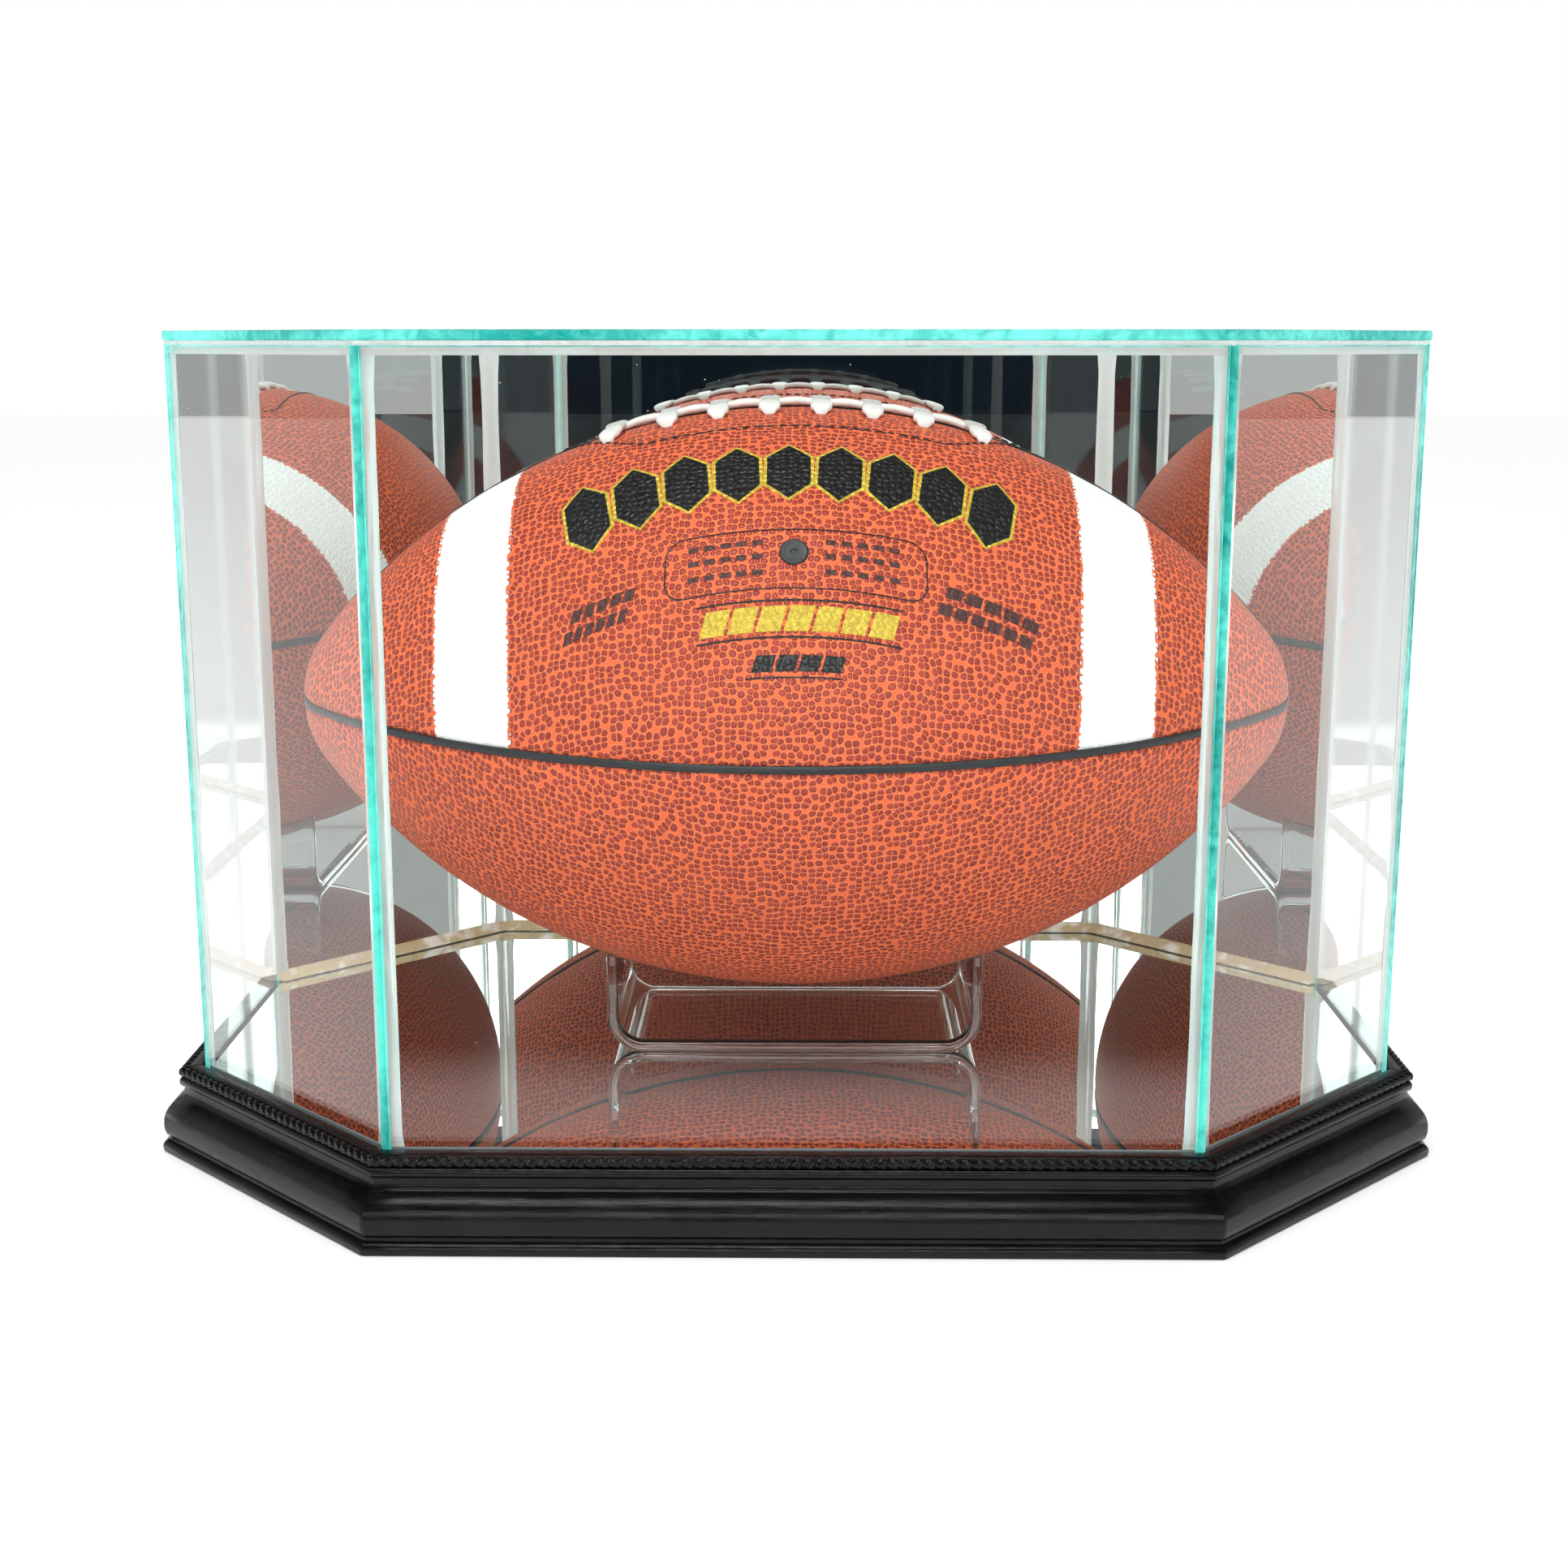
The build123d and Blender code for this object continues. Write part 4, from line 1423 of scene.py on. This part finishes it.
def stand_piece(material):
    """A bent strip with polished, rounded edges."""
    half = stand_high.x - SHEET / 2
    low = stand_low.z + SHEET / 2 + HAIR
    depth = stand_high.y
    ease = 0.5 * MM
    section = [
        (-depth, -SHEET / 2 + ease),
        (-depth + ease * 0.3, -SHEET / 2 + ease * 0.3),
        (-depth + ease, -SHEET / 2),
    ]
    columns = 15
    for step in range(1, columns):
        section.append((-depth + 2 * depth * step / columns, -SHEET / 2))
    section += [
        (depth - ease, -SHEET / 2), (depth - ease * 0.3, -SHEET / 2 + ease * 0.3), (depth, -SHEET / 2 + ease),
        (depth, SHEET / 2 - ease), (depth - ease * 0.3, SHEET / 2 - ease * 0.3), (depth - ease, SHEET / 2),
    ]
    for step in range(1, columns):
        section.append((depth - 2 * depth * step / columns, SHEET / 2))
    section += [
        (-depth + ease, SHEET / 2), (-depth + ease * 0.3, SHEET / 2 - ease * 0.3), (-depth, SHEET / 2 - ease),
    ]
    stations = []
    for share in (0.0, 0.03, 0.5, 1.0):
        stations.append(("wall", -1, share))
    for step in range(1, BEND_STEPS):
        stations.append(("bend", -1, step / BEND_STEPS))
    for share in (-1, -0.5, 0, 0.5, 1):
        stations.append(("floor", 0, share))
    for step in reversed(range(1, BEND_STEPS)):
        stations.append(("bend", 1, step / BEND_STEPS))
    for share in (1.0, 0.5, 0.03, 0.0):
        stations.append(("wall", 1, share))
    points = []
    for number, (kind, side, share) in enumerate(stations):
        tip = number in (0, len(stations) - 1)
        for y, out in section:
            shrink = 0.72 if tip else 1.0
            if kind == "wall":
                top = stand_height(y * (0.985 if tip else 1.0))
                foot = low + BEND_RADIUS
                top -= 0.0 if tip else 0.25 * MM
                height = top + (foot - top) * share
                points.append((side * (half + out * shrink), y * (0.985 if tip else 1.0), height))
            elif kind == "bend":
                turn = share * math.pi / 2
                reach = BEND_RADIUS + out
                x = half - BEND_RADIUS + reach * math.cos(turn)
                points.append((side * x, y, low + BEND_RADIUS - reach * math.sin(turn)))
            else:
                points.append((share * (half - BEND_RADIUS), y, low - out))
    faces = tube_faces(len(stations), len(section))
    return piece("cradle", points, faces, "stand", [material], ["stand"], sharp=40)


# ---- surroundings ----

def plain_rays(tree):
    """The ray's kinds, and 1 for the eye's own rays and for any light on its way to a dull surface."""
    rays = put(tree, "LightPath").outputs
    lighting = calc(tree, "GREATER_THAN", rays["Diffuse Depth"], 0.5)
    lighting = calc(tree, "MAXIMUM", lighting, rays["Is Diffuse Ray"])
    return rays, calc(tree, "MAXIMUM", lighting, rays["Is Camera Ray"])


FILL_STRENGTH = 1.18


def studio_world():
    """A white tent; towards the front it opens on a dark room, which only mirrors and glass see."""
    world = bpy.data.worlds.new("studio")
    bpy.context.scene.world = world
    world.use_nodes = True
    tree = world.node_tree
    tree.nodes.clear()
    parts = put(tree, "SeparateXYZ", {0: put(tree, "TexCoord").outputs["Generated"]}).outputs
    sideways = calc(tree, "ABSOLUTE", parts[0])
    aside = calc(tree, "DIVIDE", sideways, calc(tree, "MAXIMUM", 0.001, forward(tree, parts)))
    facing = ramp(tree, aside, 0.42, 0.62, 1.0, 0.0)
    ahead = calc(tree, "GREATER_THAN", forward(tree, parts), 0.01)
    opening = calc(tree, "MULTIPLY", facing, ahead)
    overhead = ramp(tree, parts[2], 0.3, 0.6)
    tent = blend_colours(tree, opening, (0.95, 0.97, 0.97), (0.012, 0.02, 0.03))
    tent = blend_colours(tree, overhead, tent, (0.03, 0.032, 0.034))
    rays, plain = plain_rays(tree)
    gloss = calc(tree, "MULTIPLY", rays["Is Glossy Ray"], 0.5)
    tent = blend_colours(tree, gloss, tent, (0.0, 0.0, 0.0))
    colour = blend_colours(tree, plain, tent, (1.0, 1.0, 1.0))
    strength = ramp(tree, rays["Is Diffuse Ray"], 0.0, 1.0, 1.0, FILL_STRENGTH)
    back = put(tree, "Background", {"Color": colour, "Strength": strength})
    put(tree, "OutputWorld", {"Surface": back.outputs[0]})


def forward(tree, parts):
    """How far a direction points to the front."""
    return calc(tree, "MULTIPLY", parts[1], -1.0)


def soft_light(name, place, target, wide, tall, power):
    """A large light aimed at a point."""
    lamp = bpy.data.lights.new(name, "AREA")
    lamp.shape = "RECTANGLE"
    lamp.size = wide
    lamp.size_y = tall
    lamp.energy = power
    made = bpy.data.objects.new(name, lamp)
    made.location = place
    made.rotation_euler = (Vector(target) - Vector(place)).to_track_quat("-Z", "Y").to_euler()
    bpy.context.scene.collection.objects.link(made)


def pale_floor():
    """The plain surface the case stands on; its front stretch is painted dark for rays that reach it through
    mirrors and glass, a painted shade standing in for a dark room in front.
    """
    made, tree, shader, _ = new_material("pale_floor")
    place = solid_place(tree)
    cloud = put(tree, "TexNoise", {"Vector": place, "Scale": 3.0, "Detail": 2.0}).outputs["Fac"]
    pale = blend_colours(tree, cloud, (0.96, 0.96, 0.96), (0.98, 0.98, 0.98))
    _, plain = plain_rays(tree)
    # Painted shade: in front of the case the floor turns near black for every ray except the eye's own and
    # light bound for dull surfaces, so reflections show darkness there.
    front = ramp(tree, put(tree, "SeparateXYZ", {0: place}).outputs[1], -0.26, -0.2, 1.0, 0.0)
    dim = calc(tree, "MULTIPLY", calc(tree, "SUBTRACT", 1.0, plain), front)
    feed(tree, shader, Base_Color=blend_colours(tree, dim, pale, (0.02, 0.028, 0.036)))
    feed(tree, shader, Roughness=0.6)
    mesh = bpy.data.meshes.new("table_top")
    half = 6.0
    corners = [(-half, -half, 0), (half, -half, 0), (half, half, 0), (-half, half, 0)]
    mesh.from_pydata(corners, [], [(0, 1, 2, 3)])
    mesh.materials.append(made)
    table = bpy.data.objects.new("table_top", mesh)
    bpy.context.scene.collection.objects.link(table)


CAMERA_PLACE = (3.4 * MM, -609.4 * MM, 222.4 * MM)
CAMERA_DOWN = 11.71
CAMERA_TURN = 0.63
CAMERA_LENS = 48.95


def set_camera():
    """A camera a little above the top of the case, looking slightly down."""
    camera = bpy.data.cameras.new("camera")
    camera.lens = CAMERA_LENS
    camera.sensor_width = 36
    camera.clip_start = 0.01
    made = bpy.data.objects.new("camera", camera)
    made.location = CAMERA_PLACE
    made.rotation_euler = (math.radians(90 - CAMERA_DOWN), 0, math.radians(CAMERA_TURN))
    bpy.context.scene.collection.objects.link(made)
    bpy.context.scene.camera = made


LIGHT_TARGET = (0, 0, 0.12)
FRONT_LIGHT_PLACE = (0.0, -2.1, 0.72)
FRONT_LIGHT_WATTS = 9.5
TOP_LIGHT_PLACE = (-0.2, -0.75, 1.5)
TOP_LIGHT_WATTS = 8


def set_light():
    """Soft light from the front and from above."""
    studio_world()
    soft_light("front_box", FRONT_LIGHT_PLACE, LIGHT_TARGET, 1.5, 0.55, FRONT_LIGHT_WATTS)
    soft_light("top_box", TOP_LIGHT_PLACE, LIGHT_TARGET, 0.9, 0.5, TOP_LIGHT_WATTS)
    scene = bpy.context.scene
    scene.view_settings.view_transform = "Standard"
    scene.view_settings.look = "None"
    scene.cycles.max_bounces = 24
    scene.cycles.glossy_bounces = 12
    scene.cycles.transmission_bounces = 20
    scene.cycles.transparent_max_bounces = 32


def main():
    """Build the case, its football and the studio round them."""
    lacquer = black_lacquer()
    glass = clear_glass()
    edge = glass_edge()
    silver = silvered_face()
    paint = mirror_paint()
    build_base(lacquer, silver, paint)
    build_cover(glass, silver, edge, paint)
    build_football(black_rubber())
    stand_piece(acrylic())
    pale_floor()
    set_light()
    set_camera()


main()
